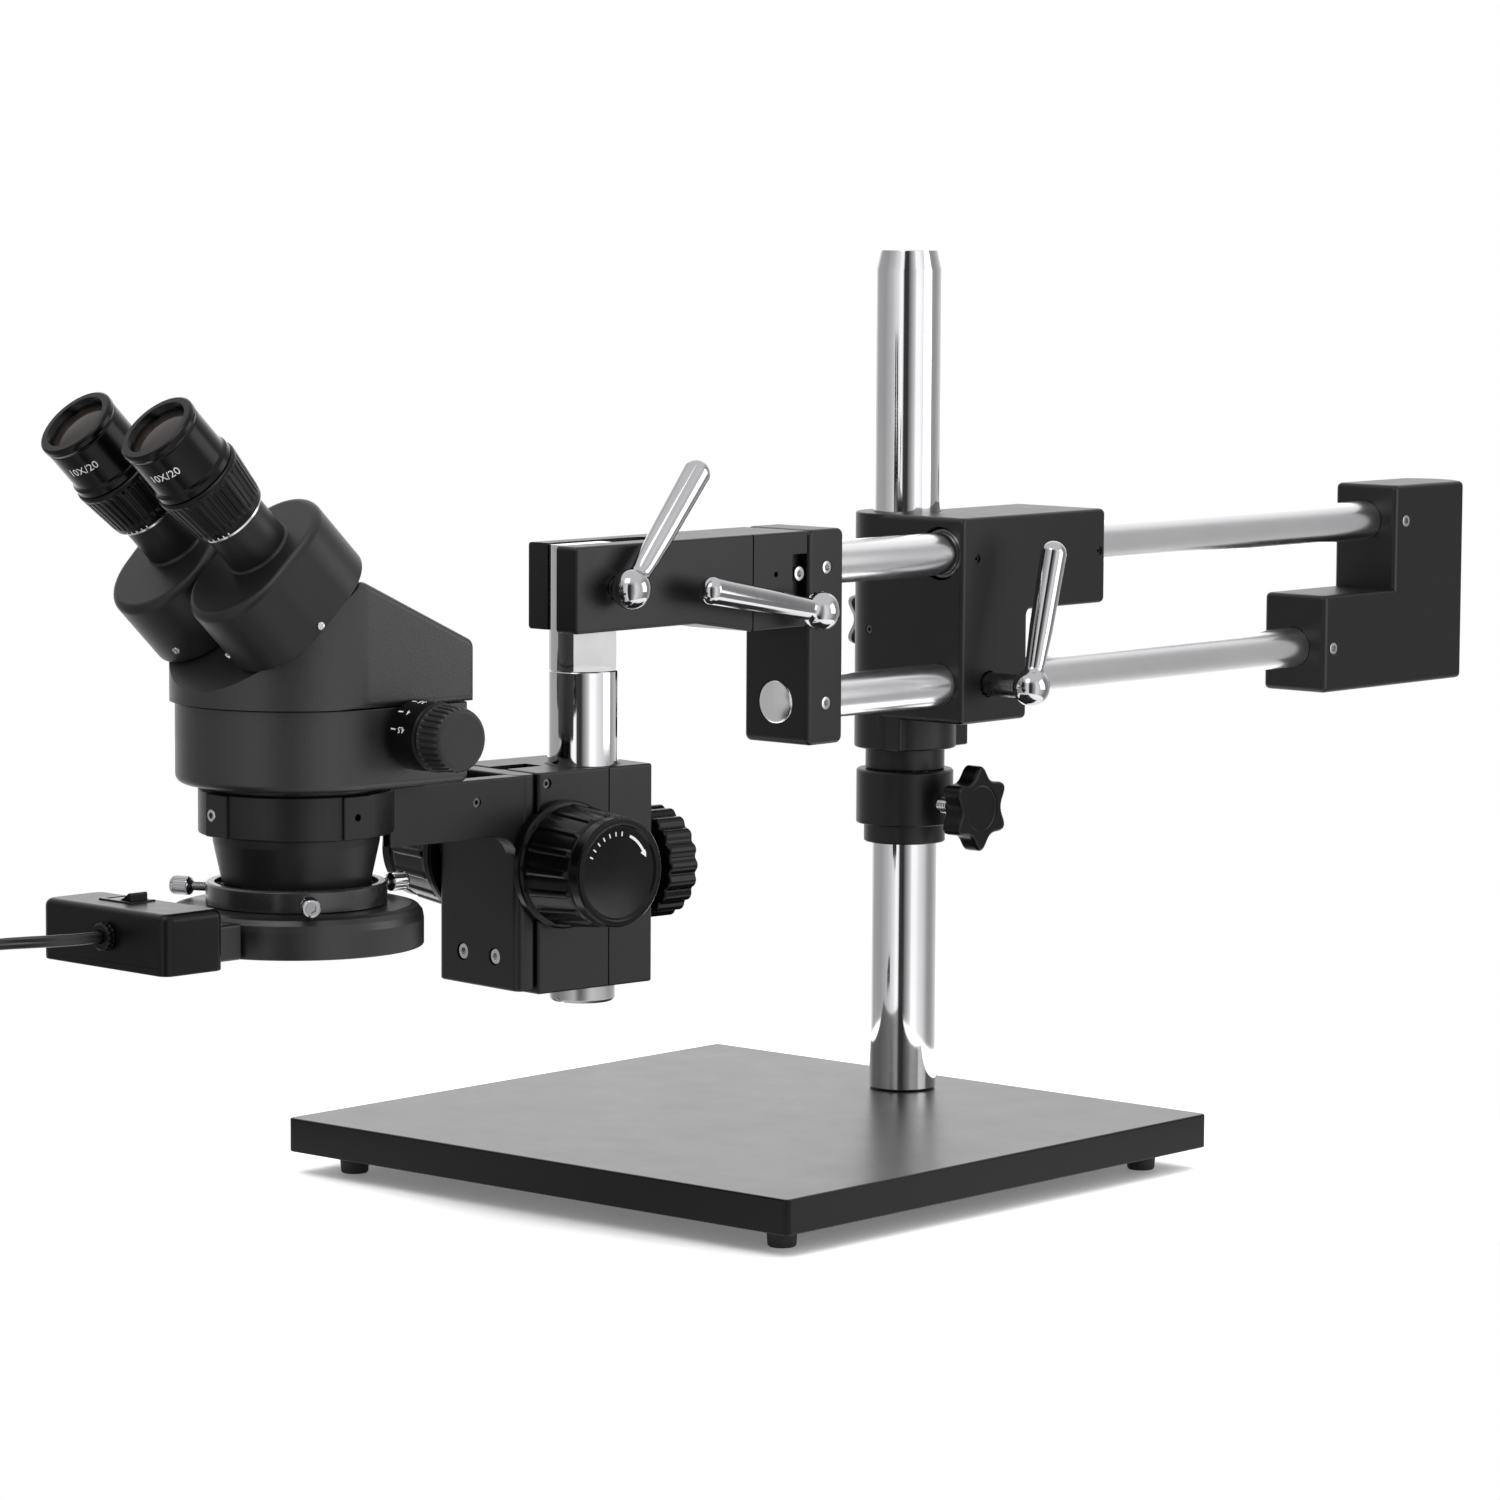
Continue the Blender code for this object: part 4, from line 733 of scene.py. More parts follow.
def make_arms():
    for name, height, front in (("upper_arm", UPPER_Z, -56.0), ("lower_arm", LOWER_Z, -29.6)):
        rod_shape = rod(ARM_R, front, 488, 128, 0.5)
        emit(name + "_rod", rod_shape, WORLD @ place((ARM_X, 0, height), TO_Y), "ground", "arms", name)
    dome = [(0, -30.75), (3, -30.7), (6, -30.5), (8.6, -30.2), (9.7, -29.85), (9.9, -29.5), (0, -29.5)]
    emit("lower_arm_end", lathe(dome, 96, 0), WORLD @ place((ARM_X, 0, LOWER_Z), TO_Y), "ground", "arms", sharp=60)
    front = side_prism(rounded((-29.8, 206.5), (-5.3, 304.9), 3.4), END_LEFT, END_RIGHT, 2.0)
    plan = [(END_LEFT, 433.5, 3.0), (END_RIGHT, 433.5, 3.0)]
    rear_arc = [(*p, 0) for p in arc((ARM_X, 476.5), 26.0, 41.5, 137.0, 24)]
    step_plan = [(END_LEFT, 372.5), (END_RIGHT, 372.5), (END_RIGHT, 478), (END_LEFT, 478)]
    rear = prism(soften(plan + rear_arc, 3.0, True), 203, 306, 2.6)
    step = prism(soften(step_plan, 3.2, True), 203, 252.5, 2.6)
    rear = fuse(rear, step)
    screws = []
    for height in (UPPER_Z, LOWER_Z):
        front = cut(front, on_arm(rod(10.2, -40, 0, 96), height))
        rear = cut(rear, on_arm(rod(10.2, 360, 488.3, 96), height))
    spots = (("front_upper_set_screw", -17.0, UPPER_Z), ("front_lower_set_screw", -17.0, LOWER_Z),
             ("rear_upper_set_screw", 443.0, UPPER_Z), ("rear_lower_set_screw", 380.5, LOWER_Z))
    for name, y, z in spots:
        hole = moved(lathe([(0, 62), (3.5, 62), (3.5, 60.0), (2.9, 59.4), (2.9, 45), (0, 45)], 48, 0), (0, y, z),
                     TO_X)
        if y < 0:
            front = cut(front, hole)
        else:
            rear = cut(rear, hole)
        screws.append(moved(cut(rod(3.0, -8, 0, 40, 0.3), hexagon(2.9, -2.4, 1)), (59.9, y, z), TO_X))
    emit("front_end_block", front, WORLD, "block", "arms", "front_block")
    emit("rear_end_block", rear, WORLD, "block", "arms", "rear_block")
    emit("arm_set_screws", group(*screws), WORLD, "steel", "arms", *[name for name, _, _ in spots])


def make_knuckle():
    outline = soften([(-184.2, 266.7), (-105, 266.7, 8.0), (-67, 261, 8.0), (-30.1, 261), (-30.1, 304.7),
                      (-184.2, 304.7)], 2.0, True)
    bar = side_prism(outline, END_LEFT, END_RIGHT, 1.5)
    half = 7.7
    gap = [(ARM_X + half, -190)] + arc((ARM_X, -120), half, 0, 180, 24)
    gap += [(ARM_X - half, -173.5), (10, -173.5), (10, -190)]
    bore = lathe([(0, -20), (10.3, -20), (10.3, -57), (0, -57)], 96, 0)
    bar = cut(bar, prism(gap, 250, 310),
              on_arm(bore, UPPER_Z),
              box((39.8, -60, 250), (41.2, -20, 283)),
              box((54, -41.2, 274.5), (64, -20, 294.5)),
              box((58.9, -68.5, 250), (64, -67.7, 310)),
              across(4.3, 40, 64, 48, -36.6, 269.4),
              across(5.3, 20, 64, 64, -159, TILT_Z),
              across(1.3, 55, 64, 32, -52.5, 286))
    emit("knuckle_casting", bar, WORLD, "block", "knuckle", "knuckle_bar")
    clamp_screw = moved(socket_screw(3.3, 4.5, 3.0, 2.2), (59.7, -36.0, 285.5), TO_X)
    emit("knuckle_cap_screw", clamp_screw, WORLD, "steel", "knuckle")
    lever("knuckle_clamp", (46.0, -36.6, 269.4), (-73.6, 13.1), 27.0, 4.0, 0.0, "knuckle_lock", "knuckle_lever")
    lever("tilt_clamp", (24.5, -159, TILT_Z), (42.0, 48.5), 44.5, 5.0, 0.0, "tilt_lock", "tilt_lever")
    lever("arm_clamp", (51.2, 107.8, LOWER_Z), (15.5, 61.9), 29.0, 5.6, 0.0, "arm_lock", "arm_lock_lever",
          "dark_steel")


def make_post():
    where = WORLD @ place((POST_X, POST_Y, 0))
    round_part = lathe([(0, 249), (15.0, 249), (15.6, 248.4), (15.6, 111.6), (14.8, 110.8), (0, 110.8)], 160, 0.4)
    emit("post_rod", round_part, where, "chrome", "post", "focus_post")
    outline = []
    for y0, y1, side in ((-13.7, 13.7, 1), (13.7, -13.7, -1)):
        for i in range(9):
            y = y0 + (y1 - y0) * i / 8
            outline.append((side * 7.2, y))
        for i in range(1, 8):
            a = math.asin(7.2 / 15.6) * (1 - 2 * i / 8) * side
            outline.append((15.6 * math.sin(a), side * 15.6 * math.cos(a)))
    tongue = prism(outline, 248.6, 304.3, 0.6)
    tongue = cut(tongue, across(5.3, -12, 12, 64, 0, TILT_Z))
    emit("post_tongue", tongue, where, "chrome", "post")
    flats = cut(group(*[box((x, -13.75, 249.0), (x + 0.09, 13.75, 304.2)) for x in (7.15, -7.24)]),
                across(5.3, -12, 12, 64, 0, TILT_Z))
    emit("tongue_flats", flats, where, "milled", "post")
    ring = lathe([(9, 110.5), (14.4, 110.5), (14.4, 104.0), (13.2, 102.7), (9.6, 102.7), (9, 103.3)], 96, 0.3, True)
    ring = cut(ring, box((-1.5, -16, 101), (1.5, 16, 105)))
    emit("post_end_nut", ring, where, "milled", "post", "post_end_ring")


# ---------------------------------------------------------------- focus block and holder

def make_focus_block():
    body = prism(rounded((-38, -40), (18, 25.3), 1.6), 110.5, 207.3, 1.1)
    collar_seat = lathe([(0, 230), (17.2, 230), (17.2, 207.5), (16.0, 206.3), (16.0, 111.5), (17.0, 110.2), (17.0, 100),
                         (0, 100)], 128, 0)
    body = cut(body, collar_seat, box((-16, -50, 100), (-4, -19.5, 220)),
               across(5.3, -40, 20, 64, -27.5, 167),
               moved(rod(4.3, 10, 30, 40), (0, 0, 161), TO_Y),
               across(2.3, 14, 20, 40, -35, 202.4),
               box((17.45, -0.35, 100), (20, 0.35, 220)), box((-40, -0.35, 100), (-37.45, 0.35, 220)))
    emit("focus_casting", body, HEAD, "block", "focus", "focus_block")
    grub = moved(grub_screw(2.2, -3.0, -1.0, 2.0, 2.2), (18, -35, 202.4), TO_X)
    emit("focus_grub_screw", grub, HEAD, "dark_steel", "focus")
    angles = [2 * math.pi * i / 160 for i in range(160)]
    grip = [polar(25.0 - 1.5 * (1 - (0.5 + 0.5 * math.cos(20 * a))) ** 1.6, a) for a in angles]
    disc = prism(grip, 30.2, 46.4, 1.4)
    caps = lathe([(0, 46.4), (12, 46.4), (12.4, 47.5), (19.6, 47.5), (20.4, 46.0), (20.4, 31.0), (11, 31.0), (11, 26.5),
                  (0, 26.5)], 96, 0.4)
    where = HEAD @ place((0, 0, 161), TO_Y)
    emit("post_clamp_grip", group(disc, caps), where, "knob", "post_knob", "post_clamp_knob", sharp=40)
    emit("post_clamp_stud", thread(3.9, 16.5, 28), where, "steel", "post_knob", sharp=60)


def focus_knob(side, where):
    low, high = 18.8, 58.0
    profile = [(0, high - 2.6), (9, high - 2.5), (16, high - 1.9), (19.8, high - 1.3), (20.6, high - 0.3), (21.2, high),
               (23.0, high), (23.75, high - 0.8), (23.75, high - 5.6), (23.1, high - 6.3), (22.9, high - 7.1),
               (23.3, high - 7.5), (23.5, high - 8.4), (23.7, high - 9.2)]
    for i in range(1, 9):
        t = i / 8
        profile.append((23.7 + 2.2 * t, high - 9.2 - (high - 9.2 - low - 7.8) * t))
    profile += [(26.1, low + 6.9), (26.3, low + 6.2), (25.9, low + 5.8), (25.9, low + 5.0), (27.2, low + 4.6),
                (28, low + 3.8), (28, low + 0.8), (27.2, low), (12, low), (12, low - 0.6), (5.3, low - 0.6),
                (5.3, 40), (0, 40)]

    def ripple(angle, height):
        if not low + 6.9 < height < high - 8.0:
            return 0.0
        level = min(1.0, max(0.0, (math.cos(16 * angle) - 0.35) / 0.5))
        fade = min(1.0, (height - low - 6.9) / 0.9, (high - 8.0 - height) / 0.8)
        return 0.95 * level * fade
    body = lathe(profile, 320, 0.35, ripple=ripple)
    emit(f"focus_grip_{side}", body, where, "knob", "focus_drive", f"focus_knob_{side}", sharp=38)
    marks = [moved(box((-0.3, 15.6, -0.06), (0.3, 17.6, 0.06)), turn=(0, 0, angle)) for angle in range(-8, 68, 12)]
    curve = arc((0, 0), 17.1, 66, 30, 14)
    marks.append(prism(curve + [(x * 0.93, y * 0.93) for x, y in reversed(curve)], -0.06, 0.06))
    tip = Vector(curve[-1]) * 0.965
    along = Vector((tip.y, -tip.x)).normalized()
    head = [tip + along * 3.4, tip + along.orthogonal() * 1.7, tip - along.orthogonal() * 1.7]
    marks.append(prism([tuple(point) for point in head], -0.06, 0.06))
    upright = 90 if side == "right" else -90
    emit(f"focus_marks_{side}", moved(group(*marks), (0, 0, high - 1.72), (0, 0, upright)), where, "ink", "focus_drive")


def make_holder():
    ring_centre, plate_screws = (-10, -150, 0), [(x, 0, 126.5) for x in (-20.5, 1.5)]
    plate = prism(rounded((-38, -51.3), (18, -40.6), 4.2), 112.5, 207.0, 1.0)
    ring = moved(rod(41.5, 188, 206.9, 160, 0.9), ring_centre)
    holder = fuse(plate, ring)
    rib = [(-121.5, 206.8), (-121.5, 181.6), (-120.9, 181.0)] + arc((-63.5, 168), 13.0, 90, 0, 12)
    rib += [(-46, 168), (-46, 206.8)]
    for low, high in ((9.0, 17.8), (-37.8, -29.0)):
        holder = fuse(holder, side_prism(rib, low, high, 0.8))
    for angle in (-90, 0, 180):
        holder = fuse(holder, moved(box((36, -7, 188.3), (42.5, 7, 206.6), 0.6), ring_centre, (0, 0, angle)))
    holder = cut(holder, moved(rod(36.7, 150, 220, 160), ring_centre),
                 across(2.2, 16, 20, 32, -74, 197),
                 moved(rod(1.6, 38, 44, 32), (-10, -150, 197.5), TO_X))
    for spot in plate_screws:
        recess = lathe([(0, 53), (3.9, 53), (3.9, 46.8), (0, 46.8)], 48, 0)
        holder = cut(holder, moved(recess, spot, (90, 0, 0)))
    emit("holder_casting", holder, HEAD, "block", "carriage", "microscope_holder")
    screws = [moved(socket_screw(3.5, 3.0, 3.0, 2.0), (x, -50.6, z), (90, 0, 0)) for x, _, z in plate_screws]
    screws.append(moved(socket_screw(2.6, 2.0, 2.5, 1.5), (-12.5, -192.9, 197.5), (90, 0, 0)))
    emit("holder_screws", group(*screws), HEAD, "steel", "carriage")
    grub = moved(grub_screw(2.1, -2.5, -0.6, 1.9, 1.8), (17.8, -74, 197), TO_X)
    emit("holder_grub_screw", grub, HEAD, "dark_steel", "carriage")


# ---------------------------------------------------------------- microscope body

def d_plan(radius, rear, corner=4.0, steps=64):
    points = arc((0, 0), radius, 180, 360, steps)
    points += arc((radius - corner, rear - corner), corner, 0, 90, 6)
    points += arc((corner - radius, rear - corner), corner, 90, 180, 6)
    return points


def make_body():
    lower = prism(d_plan(51, 53.7), 209.3, 243.7, (3.8, 0.5), 6)
    neck = lathe([(0, 212), (36.4, 212), (36.4, 189.0), (35.8, 188.2), (0, 188.2)], 128, 0.3)
    emit("lower_body", group(lower, neck), POD, "wrinkle", "microscope", "lower_housing")
    side = soften([(-80, 244.1, 0), (-80, 223.5, 0), (-5.5, 298, 5.0), (54.5, 269.5), (54.5, 244.1, 0)], 4.5, True, 6)
    wedge = side_prism(side, -53.25, 53.25, 3.0)
    plan = arc((0, 0), 53.3, 180, 360, 96) + [(53.3, 60), (-53.3, 60)]
    upper = combine(wedge, prism(plan, 244.1, 310), "INTERSECT")
    emit("upper_body", upper, POD, "wrinkle", "microscope", "upper_housing", sharp=28)
    cone = [(24, 187.5), (35.6, 187.5), (35.3, 184), (31.6, 167.0), (30.9, 166.0), (30.9, 160.1), (30.4, 159.6),
            (25.2, 159.6), (24.4, 160.4), (24, 164)]
    emit("objective_barrel", lathe(cone, 128, 0.3, True), POD, "satin", "microscope", "objective_cone",
         slot="black_block")
    dome = [(0, 176), (23.6, 173), (23.6, 169)]
    dome += [(23.6 * (1 - k / 8), 169 - 3 * (1 - (1 - k / 8) ** 2)) for k in range(1, 9)]
    emit("objective_glass", lathe(dome, 96, 0), POD, "glass", "microscope", "objective_lens", sharp=40)


def zoom_knob(side, where):
    barrel = [(0, 71.2), (13.6, 71.2), (14.3, 70.7), (14.7, 70.2), (14.7, 55.0), (14.2, 54.0), (3.4, 54.0), (3.4, 66),
              (0, 66)]
    emit(f"zoom_dial_{side}", lathe(barrel, 96, 0.2), where, "gloss", "zoom_drive", f"zoom_knob_{side}", slot="knob")
    cap = [(0, 85.3), (11.2, 85.3), (12.2, 85.0), (12.9, 84.4), (13.3, 83.6), (13.55, 82.6)]
    cap += [(13.6 + 0.4 * k / 8, 82.6 - 8.8 * k / 8) for k in range(1, 9)]
    cap += [(14.1, 73.0), (14.2, 72.4), (13.9, 71.9), (13.2, 71.7), (0, 71.7)]
    body = lathe(cap, 240, 0.2, ripple=lambda a, z: flutes(30, 0.75, 73.4, 83.8, 0.62)(a, z))
    emit(f"zoom_cap_{side}", body, where, "cap", "zoom_drive", sharp=40)
    marks = []
    values = ("0.7", "1", "1.5", "2", "2.5", "3", "3.5", "4", "4.5")
    for k, value in enumerate(values):
        angle = 32 * k + (180 if side == "left" else 0)
        marks.append(wrapped(box((-0.3, -1.5, -0.04), (0.3, 1.5, 0.08)), 14.72, angle, 57.4))
        marks.append(wrapped(lettering(value, 3.6, 0.16), 14.76, angle, 62.6, endways=True))
    emit(f"zoom_marks_{side}", group(*marks), where, "ink", "zoom_drive")


def make_zoom():
    zoom_knob("right", POD @ place((0, 21.3, 232), TO_X))
    zoom_knob("left", POD @ place((0, 21.3, 232), (0, -90, 0)))
    hubs = [moved(lathe([(0, 54.0), (9.5, 54.0), (10.5, 53.2), (10.5, 50.6), (0, 50.6)], 64, 0.2), (0, 21.3, 232),
                  (0, side * 90, 0)) for side in (1, -1)]
    emit("zoom_bosses", group(*hubs), POD, "satin", "microscope")


# ---------------------------------------------------------------- eyepieces

def belt(lower, lower_radius, upper, upper_radius, steps):
    """The outline of a belt around two circles, one above the other in Y."""
    along = Vector(upper) - Vector(lower)
    heading = math.degrees(math.atan2(along.y, along.x))
    spread = math.degrees(math.acos((lower_radius - upper_radius) / along.length))
    top = arc(upper, upper_radius, heading - spread, heading + spread, steps)
    bottom = arc(lower, lower_radius, heading + spread, heading + 360.0 - spread, steps)
    return top + bottom


def make_eye(side, name):
    where = SEAT @ place((side * 27.2, -2, 0))
    body = prism(belt((0, 0), 26.7, (side * 2.3, 17), 25.2, 40), 0.6, 34, (0.5, 3.6), 6)
    emit(f"prism_housing_{name}", body, where, "satin", f"prism_{name}", f"prism_box_{name}")
    skirt = lathe([(0, 1.2), (23.4, 1.2), (23.4, 0.1), (0, 0.1)], 96, 0)
    emit(f"swivel_seat_{name}", skirt, where, "inside", f"prism_{name}")
    eye = where @ place((side * 1.3, 12, 0))
    tube = [(0, 77), (13.2, 77), (13.8, 76.4), (13.8, 35.0), (14.4, 34.2), (15.0, 33.8), (0, 33.8)]
    emit(f"eye_tube_{name}", lathe(tube, 96, 0.5), eye, "satin", f"prism_{name}")
    line = lathe([(13.0, 55.2), (14.6, 55.2), (15.0, 54.8), (15.0, 53.9), (14.6, 53.5), (13.0, 53.5)], 96, 0.15, True)
    emit(f"tube_line_{name}", line, eye, "steel", f"prism_{name}")
    screws = []
    for angle, height in ((-2, 3.2), (-110, 8.0)):
        screw = slotted(rod(1.7, -1.5, 0.9, 32, 0.3), 3, 0.28, 0.4, 2)
        heading = math.radians(angle if side > 0 else 180 - angle)
        screws.append(moved(moved(screw, turn=TO_X), (*polar(26.7, heading), height), (0, 0, math.degrees(heading))))
    emit(f"prism_screws_{name}", group(*screws), where, "steel", f"prism_{name}")

    ring = [(14.1, 79.6), (18.0, 79.6), (18.8, 79.0), (19.0, 78.2), (18.9, 77.4), (18.8, 76.6)]
    ring += [(18.8 - 1.9 * k / 10, 76.6 - 17.0 * k / 10) for k in range(1, 11)]
    ring += [(16.8, 58.8), (16.7, 58.0), (16.4, 56.4), (16.3, 55.8), (15.7, 55.3), (14.1, 55.3)]
    shape = lathe(ring, 288, 0.2, True, ripple=flutes(36, 0.55, 59.2, 77.0, 0.55))
    emit(f"diopter_grip_{name}", shape, eye, "gloss", f"eye_{name}", f"diopter_ring_{name}", slot="knob", sharp=38)

    barrel = [(12.6, 104.6), (13.2, 105.8), (14.0, 107), (16.6, 107), (17.4, 106.5), (17.6, 105.8), (17.6, 104.0),
              (17.2, 103.2), (17.0, 102.6), (17.2, 102.2), (17.2, 84.6), (17.6, 83.6), (18.2, 82.9), (18.2, 80.4),
              (17.8, 79.9), (11.5, 79.9), (11.5, 64), (10.2, 64), (10.2, 98), (11.6, 100.5), (12.4, 103.6)]
    emit(f"eyepiece_barrel_{name}", lathe(barrel, 128, 0.25, True), eye, "knob", f"eye_{name}", f"eyepiece_{name}")
    lens = [(12.5 * k / 10, 103.2 + 1.1 * (1 - (k / 10) ** 2)) for k in range(11)]
    lens = lens + [(12.5, 102.4), (11.0, 101.4), (0, 101.4)]
    emit(f"eye_lens_{name}", lathe(lens, 96, 0), eye, "coating", f"eye_{name}", sharp=50)
    text = wrapped(lettering("10X/20", 5.0, 0.16), 17.26, -62, 94.0)
    emit(f"eyepiece_numbers_{name}", text, eye, "ink", f"eye_{name}")
    dots = [wrapped(box((-0.25, -1.3, -0.04), (0.25, 1.3, 0.06)), 16.42, -62 + 9 * k, 57.0) for k in (-2, -1, 0, 1, 2)]
    emit(f"diopter_marks_{name}", group(*dots), eye, "ink", f"eye_{name}")


# ---------------------------------------------------------------- ring light

def make_ring_light():
    screw_z, thumb_angles, rocker_at, lead_exit = 162.3, (-35, 85, 205), (-8, -86), (3, 0, 153.5)
    clamp = lathe([(34.8, 167), (37.7, 167), (38.5, 166.2), (38.5, 157.7), (34.8, 157.7)], 128, 0.3, True)
    for angle in thumb_angles:
        clamp = cut(clamp, moved(rod(2.3, 30, 42, 32), (0, 0, screw_z), (0, 90, angle)))
    emit("adapter_ring", clamp, LIGHT, "anodised", "microscope", "light_adapter")
    for number, angle in enumerate(thumb_angles, 1):
        where = LIGHT @ place((0, 0, screw_z), (0, 90, angle))
        head = [(0, 58.0), (2.9, 58.0), (3.6, 57.6), (4.0, 57.0), (4.05, 56.6), (4.1, 56.2), (4.1, 50.0), (4.0, 49.6),
                (3.6, 49.0), (2.4, 48.2), (2.0, 47.8), (0, 47.8)]
        knurl = lathe(head, 144, 0.1, ripple=flutes(24, 0.35, 49.8, 56.4, 0.5))
        knurl = cut(knurl, hexagon(3.4, 56.4, 59))
        emit(f"thumb_head_{number}", knurl, where, "nickel", f"thumb_{number}", f"thumb_screw_{number}", slot="steel",
             sharp=40)
        emit(f"thumb_thread_{number}", thread(2.0, 31.4, 48.4, 0.7, 0.3, 32), where, "steel", f"thumb_{number}",
             sharp=60)
    shell = [(33, 157.4), (48.5, 157.4), (51.6, 156.6), (53.4, 154.4), (54, 151.4), (54, 140.5), (53.5, 140),
             (50.5, 140), (50, 140.5), (50, 147), (37, 147), (37, 140.5), (36.5, 140), (33.5, 140), (33, 140.5)]
    shell = lathe(shell, 192, 0.9, True)
    neck = box((-24, -73.2, 140.4), (24, -51, 155.6), 1.2)
    emit("ring_housing", fuse(shell, neck), LIGHT, "shell", "microscope", "light_housing")
    board = lathe([(37.4, 145.5), (49.6, 145.5), (49.6, 144.2), (37.4, 144.2)], 128, 0.1, True)
    emit("led_board", board, LIGHT, "board", "microscope", "led_ring")
    domes = []
    for count, radius, offset in ((30, 46.3, 0.0), (26, 40.7, 4.0)):
        for k in range(count):
            dome = lathe([(0, 144.3), (2.3, 144.3), (2.3, 143.3), (2.1, 142.5), (1.5, 141.9), (0.8, 141.6), (0, 141.5)],
                         16, 0)
            domes.append(moved(dome, (*polar(radius, math.radians(offset + 360 * k / count)), 0)))
    emit("led_domes", group(*domes), LIGHT, "diode", "microscope", sharp=50)

    case = prism(rounded((-40, -106), (40, -73.5), 5.0), 140, 165.5, (0.8, 3.4), 6)
    case = cut(case, moved(box((-8.3, -5.3, 159.5), (8.3, 5.3, 170)), (*rocker_at, 0)),
               moved(rod(4, 98, 110, 48), lead_exit, (90, 0, 0)),
               box((-41, -200, 142.9), (41, -105.75, 143.4)))
    emit("control_case", case, LIGHT, "gloss", "microscope", "control_box")
    feet = [moved(slotted(rod(1.9, 139.6, 141, 32, 0.3), 3, 0.3, 139, 140.2), (x, y, 0))
            for x in (-33, 33) for y in (-99, -80)]
    emit("case_screws", group(*feet), LIGHT, "dark_steel", "microscope")
    bezel = cut(moved(box((-10.2, -7.0, 164.9), (10.2, 7.0, 166.2), 0.5), (*rocker_at, 0)),
                moved(box((-8.2, -5.2, 160), (8.2, 5.2, 170)), (*rocker_at, 0)))
    emit("rocker_bezel", bezel, LIGHT, "knob", "microscope", slot="gloss")
    top = [(7.6, -4.0), (7.6, 3.6), (7.2, 4.5), (6.4, 4.5)]
    top += [(6.4 - 6.6 * k / 6, 4.5 - 3.2 * math.sin(k / 6 * 1.57)) for k in range(1, 7)]
    top += [(-7.2, 1.1), (-7.6, 0.7), (-7.6, -4.0)]
    rocker = prism(top, -4.7, 4.7, 0.3, 2)
    rocker.transform(Matrix.Rotation(math.radians(90), 4, "X"))
    spot = LIGHT @ place((*rocker_at, 164.9))
    emit("rocker_paddle", rocker, spot, "knob", "rocker", "rocker_switch", slot="gloss", sharp=40)
    signs = [moved(box((-0.9, -0.22, 0), (0.9, 0.22, 0.1)), (-4.9, 0, 1.22), (0, -1.5, 0)),
             moved(lathe([(1.0, 0.1), (1.35, 0.1), (1.35, 0), (1.0, 0)], 32, 0, True), (4.6, 0, 3.38), (0, -31, 0))]
    emit("rocker_signs", group(*signs), spot, "ink", "rocker", slot="gloss")
    gland = [(2.95, 109.9), (5.0, 109.9), (5.7, 109.3), (5.9, 108.8), (5.9, 108.4), (5.9, 107.2), (5.9, 106.7),
             (5.7, 106.3), (3.7, 106.3), (3.7, 100.3), (2.95, 100.3)]
    nut = lathe(gland, 160, 0.15, True, ripple=flutes(16, 0.4, 106.9, 109.0, 0.5))
    emit("gland_nut", nut, LIGHT @ place(lead_exit, (90, 0, 0)), "gloss", "microscope", "cable_gland", sharp=40)


make_base()
make_collar()
make_boom()
make_arms()
make_knuckle()
make_post()
make_focus_block()
focus_knob("right", HEAD @ place((0, -27.5, 167), TO_X))
focus_knob("left", HEAD @ place((-20, -27.5, 167), (0, -90, 0)))
make_holder()
make_body()
make_zoom()
make_eye(1, "right")
make_eye(-1, "left")
make_ring_light()

for cad_node, look in (("focus_rack", "brass"), ("pinion_shaft", "steel"), ("zoom_shaft", "steel"),
                       ("prism_right", "glass"), ("prism_left", "glass"), ("zoom_lens_cell", "dark_steel")):
    mesh = bpy.data.objects[cad_node].data
    mesh.materials.clear()
    mesh.materials.append(FINISH[look])


# ---------------------------------------------------------------- floor and light

def make_floor():
    shape = bmesh.new()
    bmesh.ops.create_circle(shape, cap_ends=True, segments=128, radius=0.36)
    mesh = bpy.data.meshes.new("floor")
    shape.to_mesh(mesh)
    shape.free()
    floor = linked("floor", mesh)
    mesh.materials.append(finish("studio_floor", (0.86, 0.86, 0.86), (0.89, 0.89, 0.89), (0.7, 0.8), patch=1.5,
                                 Emission_Color=(1, 1, 1, 1), Emission_Strength=0.16))


def softbox(name, spot, size, power, aim=(0, -0.1, 0.15), glossy=True):
    data = bpy.data.lights.new(name, "AREA")
    data.shape = "RECTANGLE"
    data.size, data.size_y = size
    data.energy = power
    light = linked(name, data)
    light.location = spot
    light.rotation_euler = (Vector(spot) - Vector(aim)).to_track_quat("Z", "Y").to_euler()
    light.visible_camera = False
    light.visible_glossy = glossy


def around(right, back, up=0.0):
    """A point given along the camera's right, towards the camera and up, in metres."""
    return (right * math.cos(AZIMUTH) + back * math.sin(AZIMUTH),
            right * math.sin(AZIMUTH) - back * math.cos(AZIMUTH), up)


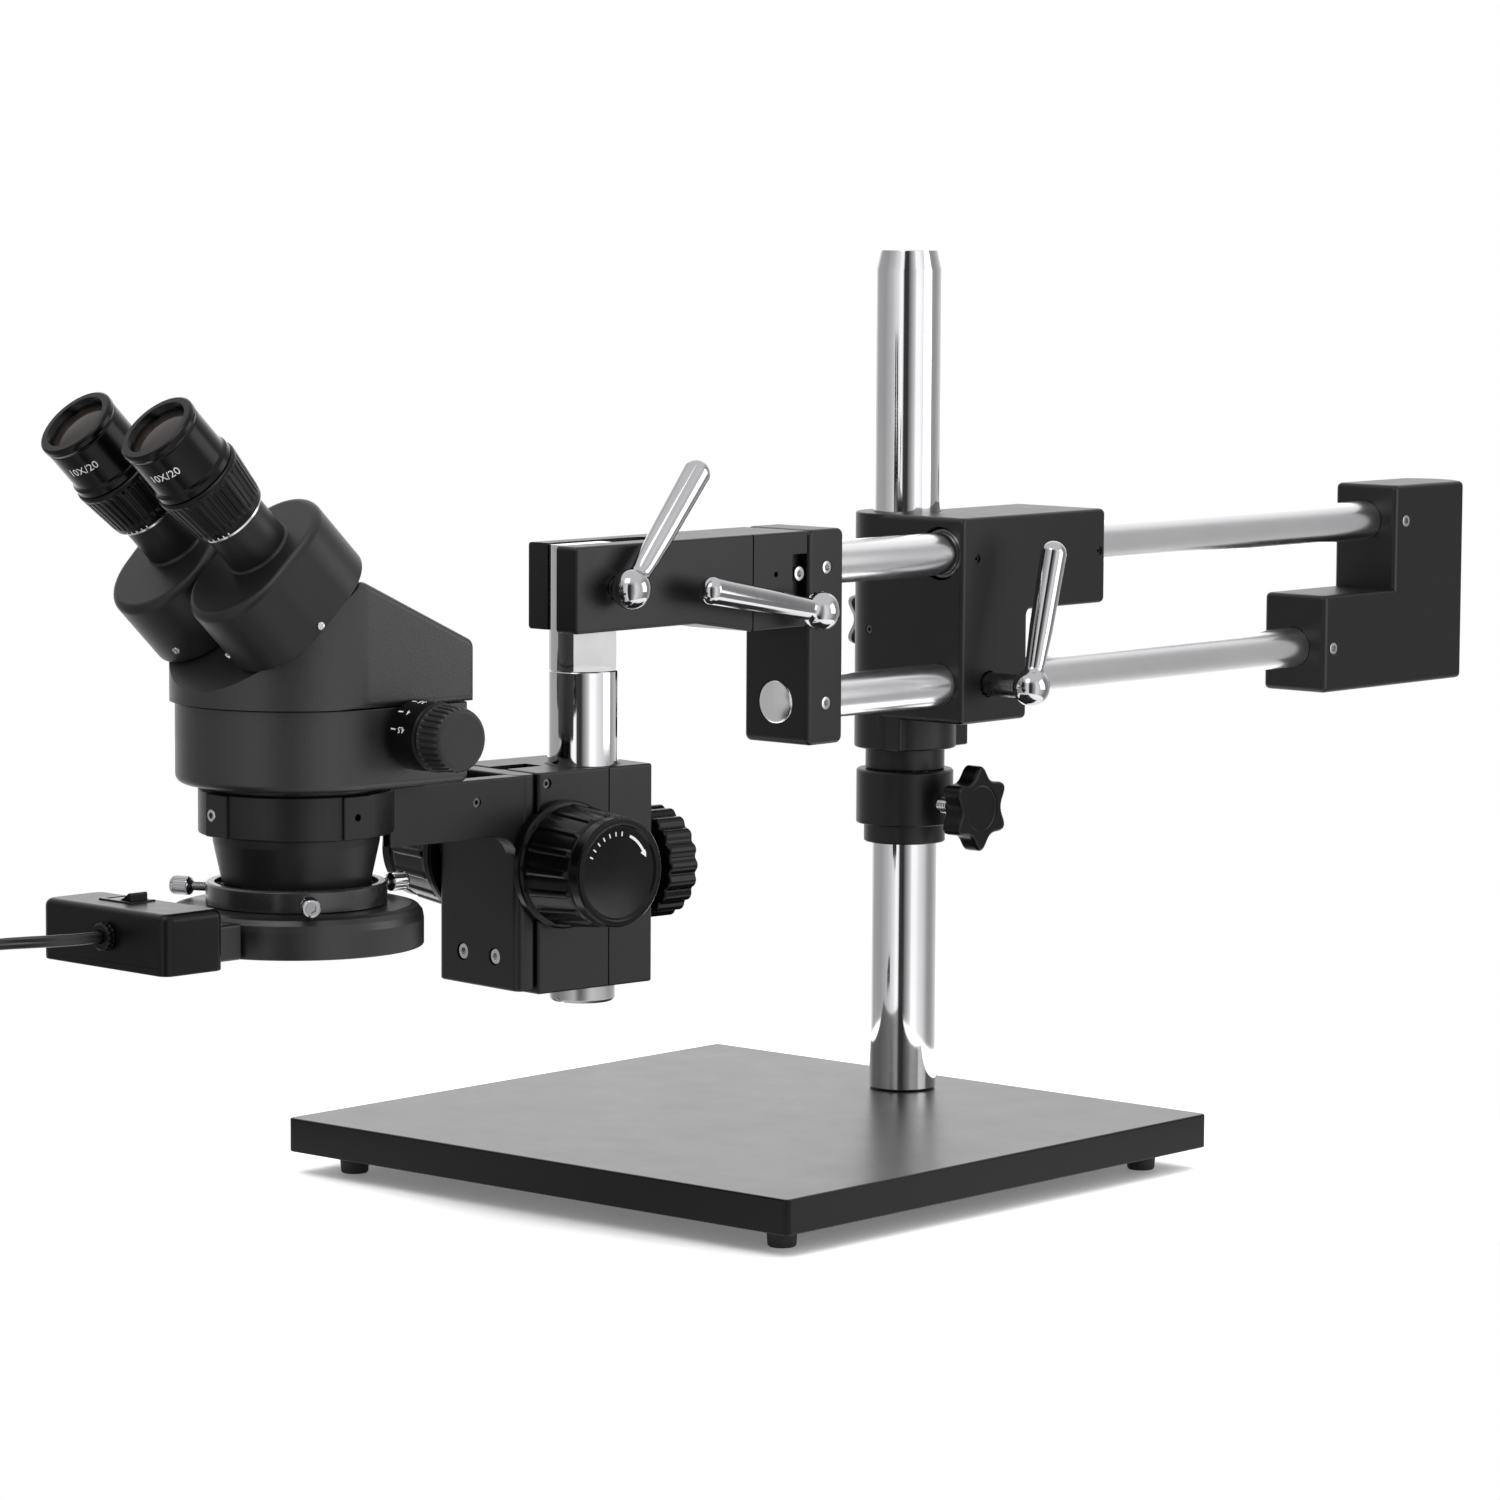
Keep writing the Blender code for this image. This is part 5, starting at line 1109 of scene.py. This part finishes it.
def make_world():
    """A white room: its brightness goes round the object, seen from the camera's side."""
    world = bpy.data.worlds.new("studio")
    bpy.context.scene.world = world
    world.use_nodes = True
    tree = world.node_tree
    way = tree.nodes.new("ShaderNodeTexCoord").outputs["Generated"]
    parts = []
    for axis in (around(1, 0), around(0, 1)):
        dot = node(tree, "ShaderNodeVectorMath", operation="DOT_PRODUCT")
        dot.inputs[1].default_value = axis
        tree.links.new(way, dot.inputs[0])
        parts.append(dot.outputs["Value"])
    angle = node(tree, "ShaderNodeMath", operation="ARCTAN2")
    tree.links.new(parts[0], angle.inputs[0])
    tree.links.new(parts[1], angle.inputs[1])
    share = node(tree, "ShaderNodeMapRange")
    share.inputs["From Min"].default_value = -math.pi
    share.inputs["From Max"].default_value = math.pi
    tree.links.new(angle.outputs[0], share.inputs["Value"])
    bands = ((-180, 1.7), (-158, 1.5), (-140, 0.9), (-126, 0.45), (-87, 0.4), (-60, 0.6), (-36, 1.0), (-28, 1.3),
             (-21, 1.2), (-17, 0.05), (-3, 0.04), (2, 0.2), (11, 0.45), (21, 0.8), (25, 1.3), (40, 1.3), (52, 1.0),
             (68, 0.83), (88, 0.4), (100, 0.35), (115, 0.45), (138, 0.75), (158, 1.4), (180, 1.7))
    wall = ramp(tree, share.outputs["Result"], [((degrees + 180) / 360, value) for degrees, value in bands])
    height = node(tree, "ShaderNodeSeparateXYZ")
    tree.links.new(way, height.inputs[0])
    ceiling = ramp(tree, height.outputs["Z"], [(0.45, 0.0), (0.72, 1.0)])
    mix = node(tree, "ShaderNodeMix", data_type="RGBA")
    mix.inputs["B"].default_value = (1.0, 1.0, 1.0, 1)
    tree.links.new(ceiling, mix.inputs["Factor"])
    tree.links.new(wall, mix.inputs["A"])
    seen = tree.nodes.new("ShaderNodeLightPath").outputs["Is Camera Ray"]
    plain = node(tree, "ShaderNodeMix", data_type="RGBA")
    plain.inputs["B"].default_value = (1, 1, 1, 1)
    tree.links.new(seen, plain.inputs["Factor"])
    tree.links.new(mix.outputs["Result"], plain.inputs["A"])
    tree.links.new(plain.outputs["Result"], tree.nodes["Background"].inputs["Color"])
    tree.nodes["Background"].inputs["Strength"].default_value = 1.0


def make_sun():
    """Soft, even light from above, that keeps the floor white."""
    data = bpy.data.lights.new("overhead", "SUN")
    data.energy = 2.5
    data.angle = math.radians(75)
    linked("overhead", data).visible_glossy = False


make_floor()
make_world()
make_sun()
softbox("head_box", (0.72, 0.30, 0.42), (0.45, 0.6), 1.9, (-0.05, -0.35, 0.26))
softbox("key_box", around(-0.5, 0.9, 1.3), (0.6, 0.6), 3.0, (-0.1, -0.35, 0.25))
bpy.context.scene.view_settings.view_transform = "Standard"
